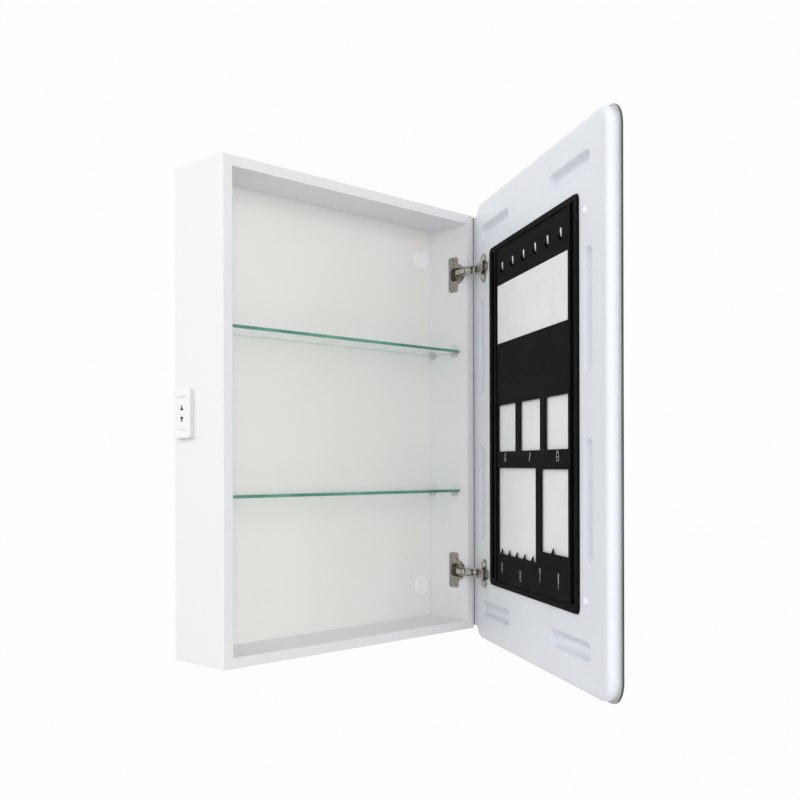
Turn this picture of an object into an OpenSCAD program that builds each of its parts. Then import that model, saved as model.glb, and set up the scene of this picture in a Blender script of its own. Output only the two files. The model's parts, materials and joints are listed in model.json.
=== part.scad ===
// Wall-hung mirror cabinet with a lighted mirror door, drawn with the door standing open.
// X runs to the right, Y into the wall and Z up. The wall is the plane Y = 0, and the
// origin is the centre of the four wall screws.

/* [Cabinet body] */
// Width of the cabinet body over its side boards
body_w = 566; // [480:1:900]
// Height of the cabinet body
body_h = 760; // [720:1:1000]
// Depth of the cabinet body from the wall to its front edges
body_d = 125; // [115:1:200]
// Thickness of the side, top and bottom boards
board_t = 16; // [16:0.5:19]
// Thickness of the back board
back_t = 8; // [6:0.5:9]
// Distance from the wall to the inner face of the back board
back_inset = 31; // [30:1:40]
// Depth of the groove that holds the back board
groove_d = 5; // [3:0.5:8]

/* [Hanging rails] */
// Thickness of a hanging rail
rail_t = 18; // [15:0.5:18]
// Height of a hanging rail
rail_h = 80; // [60:1:100]
// Distance from the top or bottom of the body to the wall screws
screw_edge_z = 74; // [60:1:110]
// Distance from the inner face of a side board to the wall screws
screw_edge_x = 23; // [21:1:60]
// Diameter of a wall screw hole
wall_hole = 6; // [5:0.5:8]
// Diameter of an access hole in the back board
access_hole = 35; // [30:1:36]
// Diameter of an access cap
cap_dia = 38; // [37:1:40]
// How far an access cap stands proud of the back board
cap_proud = 1.6; // [1:0.1:3]

/* [Dowels] */
// Diameter of a wooden dowel
dowel_dia = 8; // [6:0.5:8]
// Length of a wooden dowel
dowel_l = 30; // [25:1:35]
// Depth of a dowel in a side board
dowel_bite = 11; // [8:0.5:12]
// Distance of the front dowels from the front edges of the top and bottom boards
dowel_inset = 22; // [16:1:25]

/* [Glass shelves] */
// Thickness of a shelf
shelf_t = 5; // [4:0.5:8]
// Height of the upper shelf's middle above the body's centre
shelf_up = 130.5; // [60:0.5:170]
// Depth of the lower shelf's middle below the body's centre
shelf_down = 126.5; // [60:0.5:170]
// Distance from the front edges of the body to a shelf
shelf_setback = 18; // [10:1:30]
// Diameter of a shelf pin's shank
pin_dia = 5; // [4:0.5:6]
// Diameter of a shelf pin's head
pin_head = 8; // [7:0.5:10]
// Length of a shelf pin's head
pin_head_l = 9; // [6:0.5:12]
// Depth of a shelf pin in its board
pin_bite = 9; // [6:0.5:11]
// Distance of a shelf pin from the front or rear edge of the shelf
pin_inset = 11; // [8:1:20]

/* [Socket] */
// Width of the socket's cover plate
plate_w = 42; // [40:1:60]
// Height of the socket's cover plate
plate_h = 75; // [72:1:100]
// How far the cover plate stands proud of the side board
plate_proud = 9; // [7:0.5:12]
// Wall thickness of the cover plate
plate_wall = 2.5; // [2:0.1:3.5]
// Width of the socket's insert
insert_w = 24; // [23:0.5:28]
// Height of the socket's insert
insert_h = 50; // [46:1:54]
// Distance from the front edges of the body to the socket's centre
socket_back = 96; // [92:1:98]
// Width of the box let into the side board
socket_box_w = 34; // [32:1:36]
// Height of the box let into the side board
socket_box_h = 60; // [56:1:64]
// Distance between the two blade openings
blade_pitch = 12.7; // [12:0.1:14]
// Distance between the two round openings
round_pitch = 19; // [18:0.1:20]

/* [Door] */
// How far the mirror reaches past the body on the hinge side
over_hinge = 2.5; // [1.5:0.5:5]
// How far the mirror reaches past the body on the free side, as a finger grip
over_free = 31.5; // [15:0.5:45]
// How far the mirror reaches above the body
over_top = 21.5; // [5:0.5:40]
// How far the mirror reaches below the body
over_bottom = 18.5; // [5:0.5:40]
// Gap between the body's front edges and the closed door
door_gap = 2.5; // [2:0.1:3]
// Angle by which the door stands open
door_open = 57; // [0:1:100]
// Thickness of the mirror
mirror_t = 4; // [3:0.5:6]
// Corner radius of the mirror
mirror_r = 35; // [20:1:60]

/* [Door shell] */
// Depth of the shell behind the mirror
shell_d = 17; // [16.5:0.5:25]
// Wall thickness of the shell
shell_wall = 2.2; // [1.5:0.1:2.5]
// How far the shell stays inside the mirror's outline
shell_inset = 4; // [3:0.5:10]
// Radius of the shell's soft rear edge
shell_edge = 5; // [3:0.5:6]
// Depth of the stiffening pockets
pocket_d = 5; // [3:0.5:5]
// Length of the four upright pockets
upright_pocket_l = 165; // [120:1:180]
// Width of the four upright pockets
upright_pocket_w = 22; // [12:1:26]
// Length of the four level pockets
level_pocket_l = 146; // [80:1:160]
// Height of the four level pockets
level_pocket_h = 23; // [14:1:26]
// Corner radius of the pockets
pocket_r = 8; // [3:0.5:10]
// Distance from the shell's hinge edge to the middle of the near upright pockets
near_pocket_s = 43; // [36:0.5:48]
// Distance from the shell's free edge to the middle of the far upright pockets
far_pocket_s = 64; // [56:0.5:66]
// Distance from the door's top or bottom edge to the middle of the level pockets
level_pocket_z = 63; // [50:1:70]
// Diameter of a screw cap on the shell
shell_cap_dia = 11; // [8:0.5:14]
// Height of a screw cap on the shell
shell_cap_h = 3; // [2.5:0.1:5]
// Distance from the door's top or bottom edge to the shell screws
shell_screw_z = 132; // [110:1:180]
// Distance of the shell screws from the middle of the frame bar, towards the free edge
shell_screw_off = -7; // [-10:1:10]

/* [Organizer tray] */
// Distance from the mirror's side edges to the tray
tray_margin_x = 100; // [92:1:140]
// Distance from the mirror's top and bottom edges to the tray
tray_margin_z = 106; // [96:1:150]
// Height of the tray's centre above the door's centre
tray_up = 4; // [0:1:6]
// Corner radius of the tray
tray_r = 10; // [4:1:14]
// How far the tray's rim stands proud of the shell
rim_proud = 3; // [2.5:0.1:4]
// How far the tray's face stands proud of the shell
face_proud = 1; // [0.6:0.1:1.5]
// Thickness of the tray's face
face_t = 2; // [1.6:0.1:2.2]
// Depth of the recess that the tray drops into
tray_recess = 5; // [4.8:0.1:5.5]
// Thickness of the white backing sheet
backing_t = 1.5; // [1:0.1:1.8]
// Width of the tray's outer ridge
ridge_outer = 13; // [10:0.5:14]
// Width of the groove between the ridges
ridge_groove = 14; // [8:0.5:15]
// Width of the tray's inner ridge
ridge_inner = 8; // [5:0.5:9]
// Width of the tray's top and bottom ridge
ridge_level = 9; // [6:0.5:12]
// Width of the tray's face beside the windows
win_border = 4.5; // [3:0.5:8]
// Width of the post between windows
post_w = 22.5; // [15:0.5:24]
// Height of the memo board's window
board_win_h = 100; // [70:1:110]
// Distance from the tray's top to the memo board's window
board_win_top = 71.5; // [66:0.5:80]
// Height of the three small windows
small_win_h = 79; // [60:1:84]
// Distance from the tray's centre down to the foot of the three small windows
small_win_foot = 62; // [50:1:66]
// Distance from the tray's centre down to the head of the lower windows
low_win_head = 90; // [86:1:100]
// Distance from the tray's bottom to the foot of the lower left window
left_win_foot = 58; // [50:1:80]
// Distance from the tray's bottom to the foot of the lower right window
right_win_foot = 76.5; // [60:0.5:90]
// Width of the lower right window
right_win_w = 111.5; // [90:0.5:120]
// Width of a slot behind a hook
hook_slot_w = 4.5; // [3:0.5:6]
// Height of a slot behind a hook
hook_slot_h = 14; // [10:0.5:16]
// Distance from the tray's top to the middle of the hook slots
hook_top = 41; // [35:0.5:50]
// Number of hooks
hook_count = 6; // [3:1:8]
// Reach of a hook out of the tray's face
hook_reach = 5; // [3:0.5:7]
// Number of comb teeth
tooth_count = 5; // [3:1:6]
// Height of a comb tooth
tooth_h = 8.5; // [5:0.5:12]

/* [Light] */
// Distance from the mirror's edge to the light guide
guide_inset = 20; // [15:1:30]
// Thickness of the light guide
guide_t = 4; // [3:0.5:5]
// Thickness of an LED strip
led_t = 1.6; // [1:0.1:2]
// Distance from the mirror's edge to the middle of the frame bars
bar_inset = 72; // [70:1:74]
// Width of a frame bar
bar_w = 30; // [28:1:32]
// Thickness of a frame bar
bar_t = 8; // [6:0.5:8]
// Length of the LED driver
driver_w = 160; // [100:1:200]
// Height of the LED driver
driver_h = 28; // [20:1:40]
// Thickness of the LED driver
driver_t = 9; // [6:0.5:9.5]
// Height of the LED driver above the tray's centre
driver_up = 150; // [100:1:200]
// Width of the touch sensor
sensor_w = 36; // [20:1:60]
// Height of the touch sensor
sensor_h = 24; // [16:1:40]
// Thickness of the touch sensor
sensor_t = 4; // [2:0.5:8]
// Distance of the touch sensor below the tray's centre
sensor_down = 262; // [200:1:270]

/* [Hinges] */
// Distance from the top or bottom of the body to a hinge
hinge_edge = 106; // [80:1:130]
// Diameter of a hinge cup
cup_dia = 35; // [35:1:35]
// Depth of a hinge cup
cup_d = 11.5; // [11:0.1:12]
// Distance from the body's front edges to the middle of a hinge cup
cup_back = 25; // [24:0.5:28]
// Width of the cup's flange
flange_w = 22; // [20:0.5:24]
// Height of the cup's flange
flange_h = 65; // [60:1:70]
// Thickness of the cup's flange
flange_t = 1.2; // [1:0.1:1.4]
// Distance between the two cup screws
cup_screw_pitch = 48; // [45:1:52]
// Distance from the cup's middle to the cup screws
cup_screw_back = 9.5; // [6:0.5:10]
// Height of the hinge arm above the shell
arm_h = 11; // [10:0.5:12]
// Outer width of the hinge arm
arm_w = 15.6; // [14.6:0.2:16]
// Sheet thickness of the hinge arm
arm_sheet = 1.2; // [1:0.1:1.4]
// Distance from the cup's face to the middle of the wing plate
wing_back = 43.5; // [43:0.5:48]
// Distance between the two wing screws
wing_pitch = 32; // [32:1:34]
// Distance from the wing screws to the arm's rear end
arm_tail = 24; // [20:0.5:25]
// Distance from the wing screws to the first adjusting screw
adjust_1 = 4; // [3:0.5:5]
// Distance from the wing screws to the second adjusting screw
adjust_2 = 17.5; // [14:0.5:18]
// Height of a hinge block
hinge_block_h = 52; // [46:1:60]
// Width of a hinge block
hinge_block_w = 26; // [22:1:28]
// Diameter of a wing
wing_dia = 20; // [16:0.5:22]
// Diameter of the hinge pins
hinge_pin = 3; // [2.5:0.1:3]

/* [Clearances] */
// Clearance round pieces that drop into one another
fit = 0.3; // [0.2:0.05:0.4]
// Clearance round dowels, pins and screws in their holes
hole_fit = 0.1; // [0.05:0.05:0.15]
// Running clearance of a hinge link on its pin
run_fit = 0.05; // [0.03:0.01:0.08]

/* [Hidden] */
$fn = 64;
inner_w = body_w - 2 * board_t;
inner_h = body_h - 2 * board_t;
front_y = -body_d;
inner_x = body_w / 2 - board_t;
back_y = -back_inset;
screw_x = inner_x - screw_edge_x;
screw_z = body_h / 2 - screw_edge_z;

// The door closes behind the plane door_y, and its hinge edge is at door_x
door_w = body_w + over_hinge + over_free;
door_h = body_h + over_top + over_bottom;
door_x = body_w / 2 + over_hinge;
door_cx = door_x - door_w / 2;
door_cz = (over_top - over_bottom) / 2;
door_y = front_y - door_gap;
mirror_y = door_y - shell_d;

// The door turns about an upright line just outside the body's front corner
axis_out = 1;
axis_ahead = 2;
pivot_x = body_w / 2 + axis_out;
pivot_y = front_y - axis_ahead;

// Hinge points in the hinge's own frame: x from the cup's face into the board and
// y from the body's front edges towards the wall, with the door closed
hinge_z = body_h / 2 - hinge_edge;
link_pin = [6.5, cup_back - 5];
link_reach = 34;
link_lead = 198;
knee_reach = 20;
knee_lead = 166;
link_half = 2.2;
link_w = 9;
link_ratio = 0.5;
link_end = link_pin + link_reach * [cos(link_lead), sin(link_lead)];
link_knee = link_pin + knee_reach * [cos(knee_lead), sin(knee_lead)];
cup_wall = 0.8;
ear_t = 1.2;
ear_gap = 9.2;
arm_mid = -door_gap + arm_h / 2 + 1;
arm_front = -28;
arm_rear = -wing_back - arm_tail;
web_front = -30;
arm_tip = link_pin + [0, 5.5];
arm_neck = [
    arm_tip, link_pin + [-3.5, 7], link_pin + [-14.5, 0.5],
    [-20, arm_mid + 5], [arm_front, arm_mid], [arm_front - 4, arm_mid]
];
function neck_along(i) = arm_neck[min(i + 1, len(arm_neck) - 1)] - arm_neck[max(i - 1, 0)];
function neck_edge(i, side) =
    arm_neck[i] + side * neck_half * [-neck_along(i)[1], neck_along(i)[0]] / norm(neck_along(i));
neck_half = 3.2;
arm_screw_x = [-wing_back - adjust_1, -wing_back - adjust_2];
arm_slot = [2, 8];
arm_slot_pitch = 3.6;
saddle_front = web_front - 2;
saddle_rear = arm_rear + 3;
saddle_h = arm_h - arm_sheet - fit;
wing_t = 2;
screw_dia = 3.5;
screw_head = 6.6;
screw_head_t = 1.6;
plate_sink = 12;

// Tray windows, from the tray's centre: x to the free side and z from the door's centre
tray_w = door_w - 2 * tray_margin_x;
tray_h = door_h - 2 * tray_margin_z;
field_half = tray_w / 2 - ridge_outer - ridge_groove - ridge_inner;
win_half = field_half - win_border;
tray_cz = door_cz + tray_up;
board_win = [tray_h / 2 - board_win_top - board_win_h, tray_h / 2 - board_win_top];
small_win = [-small_win_foot, small_win_h - small_win_foot];
left_win = [left_win_foot - tray_h / 2, -low_win_head];
right_win = [right_win_foot - tray_h / 2, -low_win_head - 1.5];
small_win_w = (2 * win_half - 2 * post_w) / 3;
left_win_w = 2 * win_half - right_win_w - post_w;
tooth_pitch = left_win_w / tooth_count;
hook_pitch = 2 * win_half / hook_count;
hook_z = tray_h / 2 - hook_top;

module block(lo, hi) {
    translate(lo) cube(hi - lo);
}

module rounded(w, h, r) {
    square([w - 2 * r, h], center = true);
    square([w, h - 2 * r], center = true);
    for (sx = [-1, 1], sz = [-1, 1]) translate([sx * (w / 2 - r), sz * (h / 2 - r)]) circle(r);
}

// A flat outline stood upright: its x and z, from the plane y towards the front by t
module upright(y, t) {
    translate([0, y, 0]) rotate([90, 0, 0]) linear_extrude(t) children();
}

// A round bar along X from x0 to x1
module bar_x(x0, x1, y, z, d) {
    translate([min(x0, x1), y, z]) rotate([0, 90, 0]) cylinder(d = d, h = abs(x1 - x0));
}

// A round bar from the plane y towards the front by t
module peg(x, z, y, t, d) {
    translate([x, y, z]) rotate([90, 0, 0]) cylinder(d = d, h = t);
}

// A strip with round ends between two points
module strip(a, b, half) {
    reach = norm(b - a);
    turn = atan2(b[1] - a[1], b[0] - a[0]);
    translate(a) circle(half);
    translate(b) circle(half);
    translate(a) rotate(turn) translate([0, -half]) square([reach, 2 * half]);
}

// Everything on the door is drawn closed and then swung open
module swung() {
    translate([pivot_x, pivot_y, 0]) rotate(door_open) translate([-pivot_x, -pivot_y, 0]) children();
}

// A place on the door: s from the mirror's hinge edge to its free edge
function at_s(s) = door_x - s;

module at_hinge(side) {
    translate([inner_x, front_y, side * hinge_z]) children();
}

module link_swung(side) {
    at_hinge(side) translate(link_pin) rotate(door_open * link_ratio) translate(-link_pin) children();
}

// Round bars on the lines of one hinge's two cup screws, from x0 to x1
module cup_screw_bars(x0, x1, d) {
    for (dz = [-1, 1]) bar_x(x0, x1, cup_back + cup_screw_back, dz * cup_screw_pitch / 2, d);
}

// Dowels: [y, z] of each one, on both sides
dowel_spots = [
    for (side = [-1, 1], y = [front_y + dowel_inset, (back_t - back_inset) / 2])
        [y, side * (body_h - board_t) / 2],
    for (side = [-1, 1], dz = [-1, 1]) [-rail_t / 2, side * screw_z + dz * rail_h / 4]
];

module dowels_at(d, bite, reach) {
    for (side = [-1, 1], p = dowel_spots)
        bar_x(side * (inner_x + bite), side * (inner_x - reach), p[0], p[1], d);
}

module dowel_holes() {
    dowels_at(dowel_dia + 2 * hole_fit, dowel_bite + fit, dowel_l - dowel_bite + fit);
}

module back_slab(grow) {
    half_w = inner_w / 2 + groove_d - fit + grow;
    half_h = inner_h / 2 + groove_d - fit + grow;
    block([-half_w, back_y - grow / 2, -half_h], [half_w, back_y + back_t + grow / 2, half_h]);
}

// Shelf pins: [y, z] of each one, on both sides. Their heads are flat on top, under the glass
pin_flat = 1;
shelf_mid = [-shelf_down, shelf_up];
shelf_front = front_y + shelf_setback;
shelf_back = back_y - fit;
pin_spots = [
    for (z = shelf_mid, y = [shelf_front + pin_inset, shelf_back - pin_inset])
        [y, z - (shelf_t + pin_head) / 2 + pin_flat]
];

module shelf_pin_holes(side) {
    for (p = pin_spots)
        bar_x(side * (inner_x - 1), side * (inner_x + pin_bite + fit), p[0], p[1], pin_dia + 2 * hole_fit);
}

socket_y = front_y + socket_back;
socket_x = -body_w / 2;
socket_pocket = board_t - groove_d - 1.5;
socket_wire_y = socket_y + socket_box_w / 2 - 5;
socket_wire_hole = 7;

module left_side_board() {
    color("#f4f4f3") difference() {
        block([-body_w / 2, -body_d, -body_h / 2], [-inner_x, 0, body_h / 2]);
        back_slab(fit);
        dowel_holes();
        shelf_pin_holes(-1);
        translate([socket_x, socket_y, 0])
            cube([2 * socket_pocket, socket_box_w + 2 * fit, socket_box_h + 2 * fit], center = true);
        bar_x(socket_x, 1 - inner_x, socket_wire_y, 0, socket_wire_hole);
    }
}

module right_side_board() {
    color("#f4f4f3") difference() {
        block([inner_x, -body_d, -body_h / 2], [body_w / 2, 0, body_h / 2]);
        back_slab(fit);
        dowel_holes();
        shelf_pin_holes(1);
        for (side = [-1, 1]) at_hinge(side) {
            bar_x(-1, cup_d + fit, cup_back, 0, cup_dia + 2 * fit);
            cup_screw_bars(-1, plate_sink, screw_dia + 2 * hole_fit);
        }
    }
}

module level_board(side) {
    z = side * (body_h - board_t) / 2;
    difference() {
        block([-inner_x, -body_d, z - board_t / 2], [inner_x, 0, z + board_t / 2]);
        back_slab(fit);
        dowel_holes();
    }
}

module top_board() {
    color("#f4f4f3") level_board(1);
}

module bottom_board() {
    color("#f4f4f3") level_board(-1);
}

module back_board() {
    color("#dcdbd6") difference() {
        back_slab(0);
        for (sx = [-1, 1], sz = [-1, 1])
            peg(sx * screw_x, sz * screw_z, back_y + back_t + 1, back_t + 2, access_hole);
        for (p = term_spots)
            peg(p[0], p[1], back_y + back_t + 1, term_bite + fit + 1, screw_dia + 2 * hole_fit);
    }
}

// How deep the screws of the terminal box go into the back board
term_bite = 4;

module hanging_rail(side) {
    difference() {
        block([-inner_x, -rail_t, side * screw_z - rail_h / 2], [inner_x, 0, side * screw_z + rail_h / 2]);
        dowel_holes();
        for (sx = [-1, 1]) peg(sx * screw_x, side * screw_z, 1, rail_t + 2, wall_hole);
    }
}

module upper_rail() {
    color("#d9cbb2") hanging_rail(1);
}

module lower_rail() {
    color("#d9cbb2") hanging_rail(-1);
}

module dowels() {
    color("#c9a873") dowels_at(dowel_dia, dowel_bite, dowel_l - dowel_bite);
}

module access_caps() {
    color("#f2f2f2") for (sx = [-1, 1], sz = [-1, 1]) {
        peg(sx * screw_x, sz * screw_z, back_y, cap_proud, cap_dia);
        difference() {
            peg(sx * screw_x, sz * screw_z, back_y + back_t, back_t + 0.2, access_hole - 2 * fit);
            peg(sx * screw_x, sz * screw_z, back_y + back_t + 1, back_t + 1, access_hole - 6);
        }
    }
}

module glass_shelf(z) {
    half = inner_w / 2 - 1;
    block([-half, shelf_front, z - shelf_t / 2], [half, shelf_back, z + shelf_t / 2]);
}

module upper_shelf() {
    color("#a8d8c8", 0.5) glass_shelf(shelf_up);
}

module lower_shelf() {
    color("#a8d8c8", 0.5) glass_shelf(-shelf_down);
}

module shelf_pins() {
    color("#c9cbcc") for (side = [-1, 1], p = pin_spots) {
        bar_x(side * (inner_x - 0.5), side * (inner_x + pin_bite), p[0], p[1], pin_dia);
        difference() {
            bar_x(side * (inner_x - pin_head_l), side * inner_x, p[0], p[1], pin_head);
            translate([side * inner_x, p[0], p[1] + pin_head - pin_flat])
                cube([2 * pin_head_l + 2, pin_head, pin_head], center = true);
        }
    }
}

// Socket, let into the left side board and facing left
box_wall = 1.5;
box_back_x = socket_x + socket_pocket - fit;
box_floor_x = box_back_x - box_wall;
plate_x = socket_x - plate_proud;

module socket_box() {
    color("#e8e8e6") difference() {
        block([socket_x, socket_y - socket_box_w / 2, -socket_box_h / 2],
              [box_back_x, socket_y + socket_box_w / 2, socket_box_h / 2]);
        block([socket_x - 1, socket_y - socket_box_w / 2 + box_wall, -socket_box_h / 2 + box_wall],
              [box_floor_x, socket_y + socket_box_w / 2 - box_wall, socket_box_h / 2 - box_wall]);
        bar_x(box_floor_x - 1, box_back_x + 1, socket_wire_y, 0, socket_wire_hole);
    }
}

module plate_outline(w, h, r, x, t) {
    translate([x, socket_y, 0]) rotate([90, 0, 90]) linear_extrude(t) rounded(w, h, r);
}

module socket_plate() {
    color("#f6f6f6") difference() {
        plate_outline(plate_w, plate_h, 4, plate_x, plate_proud);
        plate_outline(plate_w - 2 * plate_wall, plate_h - 2 * plate_wall, 2,
                      plate_x + plate_wall, plate_proud);
        plate_outline(insert_w + 2 * fit, insert_h + 2 * fit, 2, plate_x - 1, plate_wall + 2);
    }
}

// The insert has a blade slot and a round hole for each pin, and a chamber behind them
insert_x = plate_x + 0.6;
insert_face = 3;
contact_z = (blade_pitch + round_pitch) / 4;
chamber_w = 9;
chamber_h = 10;
contact_t = 0.8;

module socket_insert() {
    color("#fafafa") difference() {
        union() {
            plate_outline(insert_w, insert_h, 1.7, insert_x, box_floor_x - insert_x);
            plate_outline(insert_w + 5, insert_h + 5, 2, plate_x + plate_wall, 2);
        }
        for (sz = [-1, 1]) {
            bar_x(insert_x - 1, insert_x + insert_face + 1, socket_y, sz * round_pitch / 2, 4.8);
            translate([insert_x + insert_face / 2, socket_y, sz * blade_pitch / 2])
                cube([insert_face + 2, 7, 2.4], center = true);
            translate([(insert_x + insert_face + box_floor_x + 1) / 2, socket_y, sz * contact_z])
                cube([box_floor_x - insert_x - insert_face + 1, chamber_w, chamber_h], center = true);
        }
    }
}

module socket_contacts() {
    x0 = insert_x + insert_face + 1;
    half = chamber_h / 2 - hole_fit;
    color("#c9a227") for (sz = [-1, 1]) translate([0, socket_y, sz * contact_z]) difference() {
        block([x0, hole_fit - chamber_w / 2, -half], [box_floor_x, chamber_w / 2 - hole_fit, half]);
        block([x0 - 1, -chamber_w, contact_t - half],
              [box_floor_x - contact_t, chamber_w, half - contact_t]);
    }
}

// Terminal box for the mains supply, on the rear of the back board
term_w = 90;
term_h = 56;
term_d = back_inset - back_t - 4;
term_z = 150;
term_wall = 2;
term_front = back_y + back_t;
term_back = term_front + term_d;
grommet_dia = 14;
grommet_neck = 11;
grommet_bore = 8;
grommet_lip = 1.2;
term_spots = [for (sx = [-1, 1], sz = [-1, 1]) [sx * (term_w / 2 - 6), term_z + sz * (term_h / 2 - 6)]];

module terminal_box() {
    color("#e4e4e2") difference() {
        union() {
            difference() {
                block([-term_w / 2, term_front, term_z - term_h / 2],
                      [term_w / 2, term_back, term_z + term_h / 2]);
                block([term_wall - term_w / 2, term_front + term_wall, term_z - term_h / 2 + term_wall],
                      [term_w / 2 - term_wall, term_back + 1, term_z + term_h / 2 - term_wall]);
            }
            for (p = term_spots) peg(p[0], p[1], term_back, term_d - term_wall / 2, 10);
        }
        for (p = term_spots) peg(p[0], p[1], term_back + 1, term_d + 2, screw_dia + 2 * hole_fit);
    }
}

module terminal_lid() {
    color("#d6d6d4") difference() {
        block([-term_w / 2, term_back, term_z - term_h / 2],
              [term_w / 2, term_back + term_wall, term_z + term_h / 2]);
        for (p = term_spots)
            peg(p[0], p[1], term_back + term_wall + 1, term_wall + 2, screw_dia + 2 * hole_fit);
        peg(0, term_z, term_back + term_wall + 1, term_wall + 2, grommet_neck + 2 * hole_fit);
    }
}

module terminal_screws() {
    y = term_back + term_wall;
    color("#b9bcbe") for (p = term_spots) {
        peg(p[0], p[1], y + 1.2, 1.2, screw_head);
        peg(p[0], p[1], y, term_d + term_wall + term_bite, screw_dia);
    }
}

// Rubber ring in the lid, through which the mains cable comes in
module cable_grommet() {
    y = term_back + term_wall;
    color("#3a3c3e") difference() {
        union() {
            peg(0, term_z, y + grommet_lip, grommet_lip, grommet_dia);
            peg(0, term_z, y, term_wall, grommet_neck);
            peg(0, term_z, term_back, grommet_lip, grommet_dia);
        }
        peg(0, term_z, y + grommet_lip + 1, term_wall + 2 * grommet_lip + 2, grommet_bore);
    }
}

// Hinge cup, let into the right side board
module hinge_cup() {
    mouth_half = 12;
    cup_r = cup_dia / 2;
    difference() {
        union() {
            bar_x(-flange_t, 0, cup_back, 0, cup_dia + 2.5);
            bar_x(0, cup_d, cup_back, 0, cup_dia);
            translate([-flange_t, cup_back - 2 + flange_w / 2, 0]) rotate([90, 0, 90])
                linear_extrude(flange_t) rounded(flange_w, flange_h, 5);
        }
        bar_x(0, cup_d - cup_wall, cup_back, 0, cup_dia - 2 * cup_wall);
        translate([-flange_t - 1, cup_back - 15.5, -mouth_half]) cube([flange_t + 1.5, 31, 2 * mouth_half]);
        cup_screw_bars(-flange_t - 1, 1, screw_dia + 2 * hole_fit);
    }
    for (dz = [-1, 1]) translate([0, 0, dz * (ear_gap + ear_t / 2)]) difference() {
        translate([(link_pin[0] - 3.5 + cup_d - cup_wall + 0.1) / 2, link_pin[1], 0])
            cube([cup_d - cup_wall + 0.1 - link_pin[0] + 3.5, 8, ear_t], center = true);
        translate([link_pin[0], link_pin[1], -ear_t]) cylinder(d = hinge_pin + 0.04, h = 2 * ear_t);
    }
}

module upper_hinge_cup() {
    color("#b3aea6") at_hinge(1) hinge_cup();
}

module lower_hinge_cup() {
    color("#b3aea6") at_hinge(-1) hinge_cup();
}

module cup_screws() {
    color("#c2beb6") for (side = [-1, 1]) at_hinge(side) {
        cup_screw_bars(-flange_t - screw_head_t, -flange_t, screw_head);
        cup_screw_bars(-flange_t, plate_sink - fit, screw_dia);
    }
}

cup_pin_half = ear_gap + ear_t + 0.4;

module cup_pins() {
    color("#d5d2cc") for (side = [-1, 1]) at_hinge(side)
        translate([link_pin[0], link_pin[1], -cup_pin_half]) cylinder(d = hinge_pin, h = 2 * cup_pin_half);
}

// Hinge link, turning on the cup's pin
module hinge_link() {
    translate([0, 0, -link_w / 2]) linear_extrude(link_w) difference() {
        union() {
            translate(link_pin) circle(3.6);
            strip(link_pin, link_knee, link_half);
            strip(link_knee, link_end, link_half);
            translate(link_end) circle(3);
        }
        translate(link_pin) circle(d = hinge_pin + 2 * run_fit);
        translate(link_end) circle(d = hinge_pin + 0.04);
    }
}

module link_tip_pin() {
    tip = arm_w / 2 - arm_sheet - 0.4;
    translate([link_end[0], link_end[1], -tip]) cylinder(d = hinge_pin, h = 2 * tip);
}

module upper_hinge_link() {
    color("#a9a49c") link_swung(1) hinge_link();
}

module lower_hinge_link() {
    color("#a9a49c") link_swung(-1) hinge_link();
}

module upper_link_pin() {
    color("#d5d2cc") link_swung(1) link_tip_pin();
}

module lower_link_pin() {
    color("#d5d2cc") link_swung(-1) link_tip_pin();
}

// Hinge arm: a channel that straddles the wing plate and forks towards the cup
module arm_side() {
    last = len(arm_neck) - 1;
    polygon(concat([for (i = [0 : last]) neck_edge(i, 1)], [for (i = [last : -1 : 0]) neck_edge(i, -1)]));
    translate([arm_rear, -door_gap + wing_t + 0.2]) square([arm_front - arm_rear, arm_h - wing_t - 0.2]);
}

module hinge_arm() {
    difference() {
        union() {
            for (side = [-1, 1]) translate([0, 0, side * (arm_w - arm_sheet) / 2 - arm_sheet / 2])
                linear_extrude(arm_sheet) arm_side();
            block([arm_rear, -door_gap + arm_h - arm_sheet, -arm_w / 2],
                  [web_front, -door_gap + arm_h, arm_w / 2]);
        }
        for (i = [0 : 2]) translate([web_front - 2.5 - arm_slot_pitch * i, -door_gap + arm_h, 0])
            cube([arm_slot[0], 4, arm_slot[1]], center = true);
        for (x = arm_screw_x) translate([x, -door_gap + arm_h + 1, 0]) rotate([90, 0, 0])
            cylinder(d = screw_dia + 2 * hole_fit, h = 4);
    }
}

module upper_hinge_arm() {
    color("#b8b2a8") swung() at_hinge(1) hinge_arm();
}

module lower_hinge_arm() {
    color("#b8b2a8") swung() at_hinge(-1) hinge_arm();
}

module wing_plate() {
    difference() {
        union() {
            translate([-wing_back, 0, 0]) upright(-door_gap + wing_t, wing_t) {
                strip([0, -wing_pitch / 2], [0, wing_pitch / 2], wing_dia / 2);
                translate([saddle_rear + wing_back, arm_sheet - arm_w / 2])
                    square([saddle_front - saddle_rear, arm_w - 2 * arm_sheet]);
            }
            saddle_half = arm_w / 2 - arm_sheet - 0.4;
            block([saddle_rear, -door_gap + wing_t - 0.1, -saddle_half],
                  [saddle_front, -door_gap + saddle_h, saddle_half]);
        }
        for (dz = [-1, 1]) translate([-wing_back, 0, dz * wing_pitch / 2]) rotate([90, 0, 0])
            translate([0, 0, -10]) cylinder(d = screw_dia + 2 * hole_fit, h = 20);
        for (x = arm_screw_x) translate([x, -door_gap + arm_h + 1, 0]) rotate([90, 0, 0])
            cylinder(d = screw_dia + 2 * hole_fit, h = 8);
    }
}

module upper_wing_plate() {
    color("#bdb8ae") swung() at_hinge(1) wing_plate();
}

module lower_wing_plate() {
    color("#bdb8ae") swung() at_hinge(-1) wing_plate();
}

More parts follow.
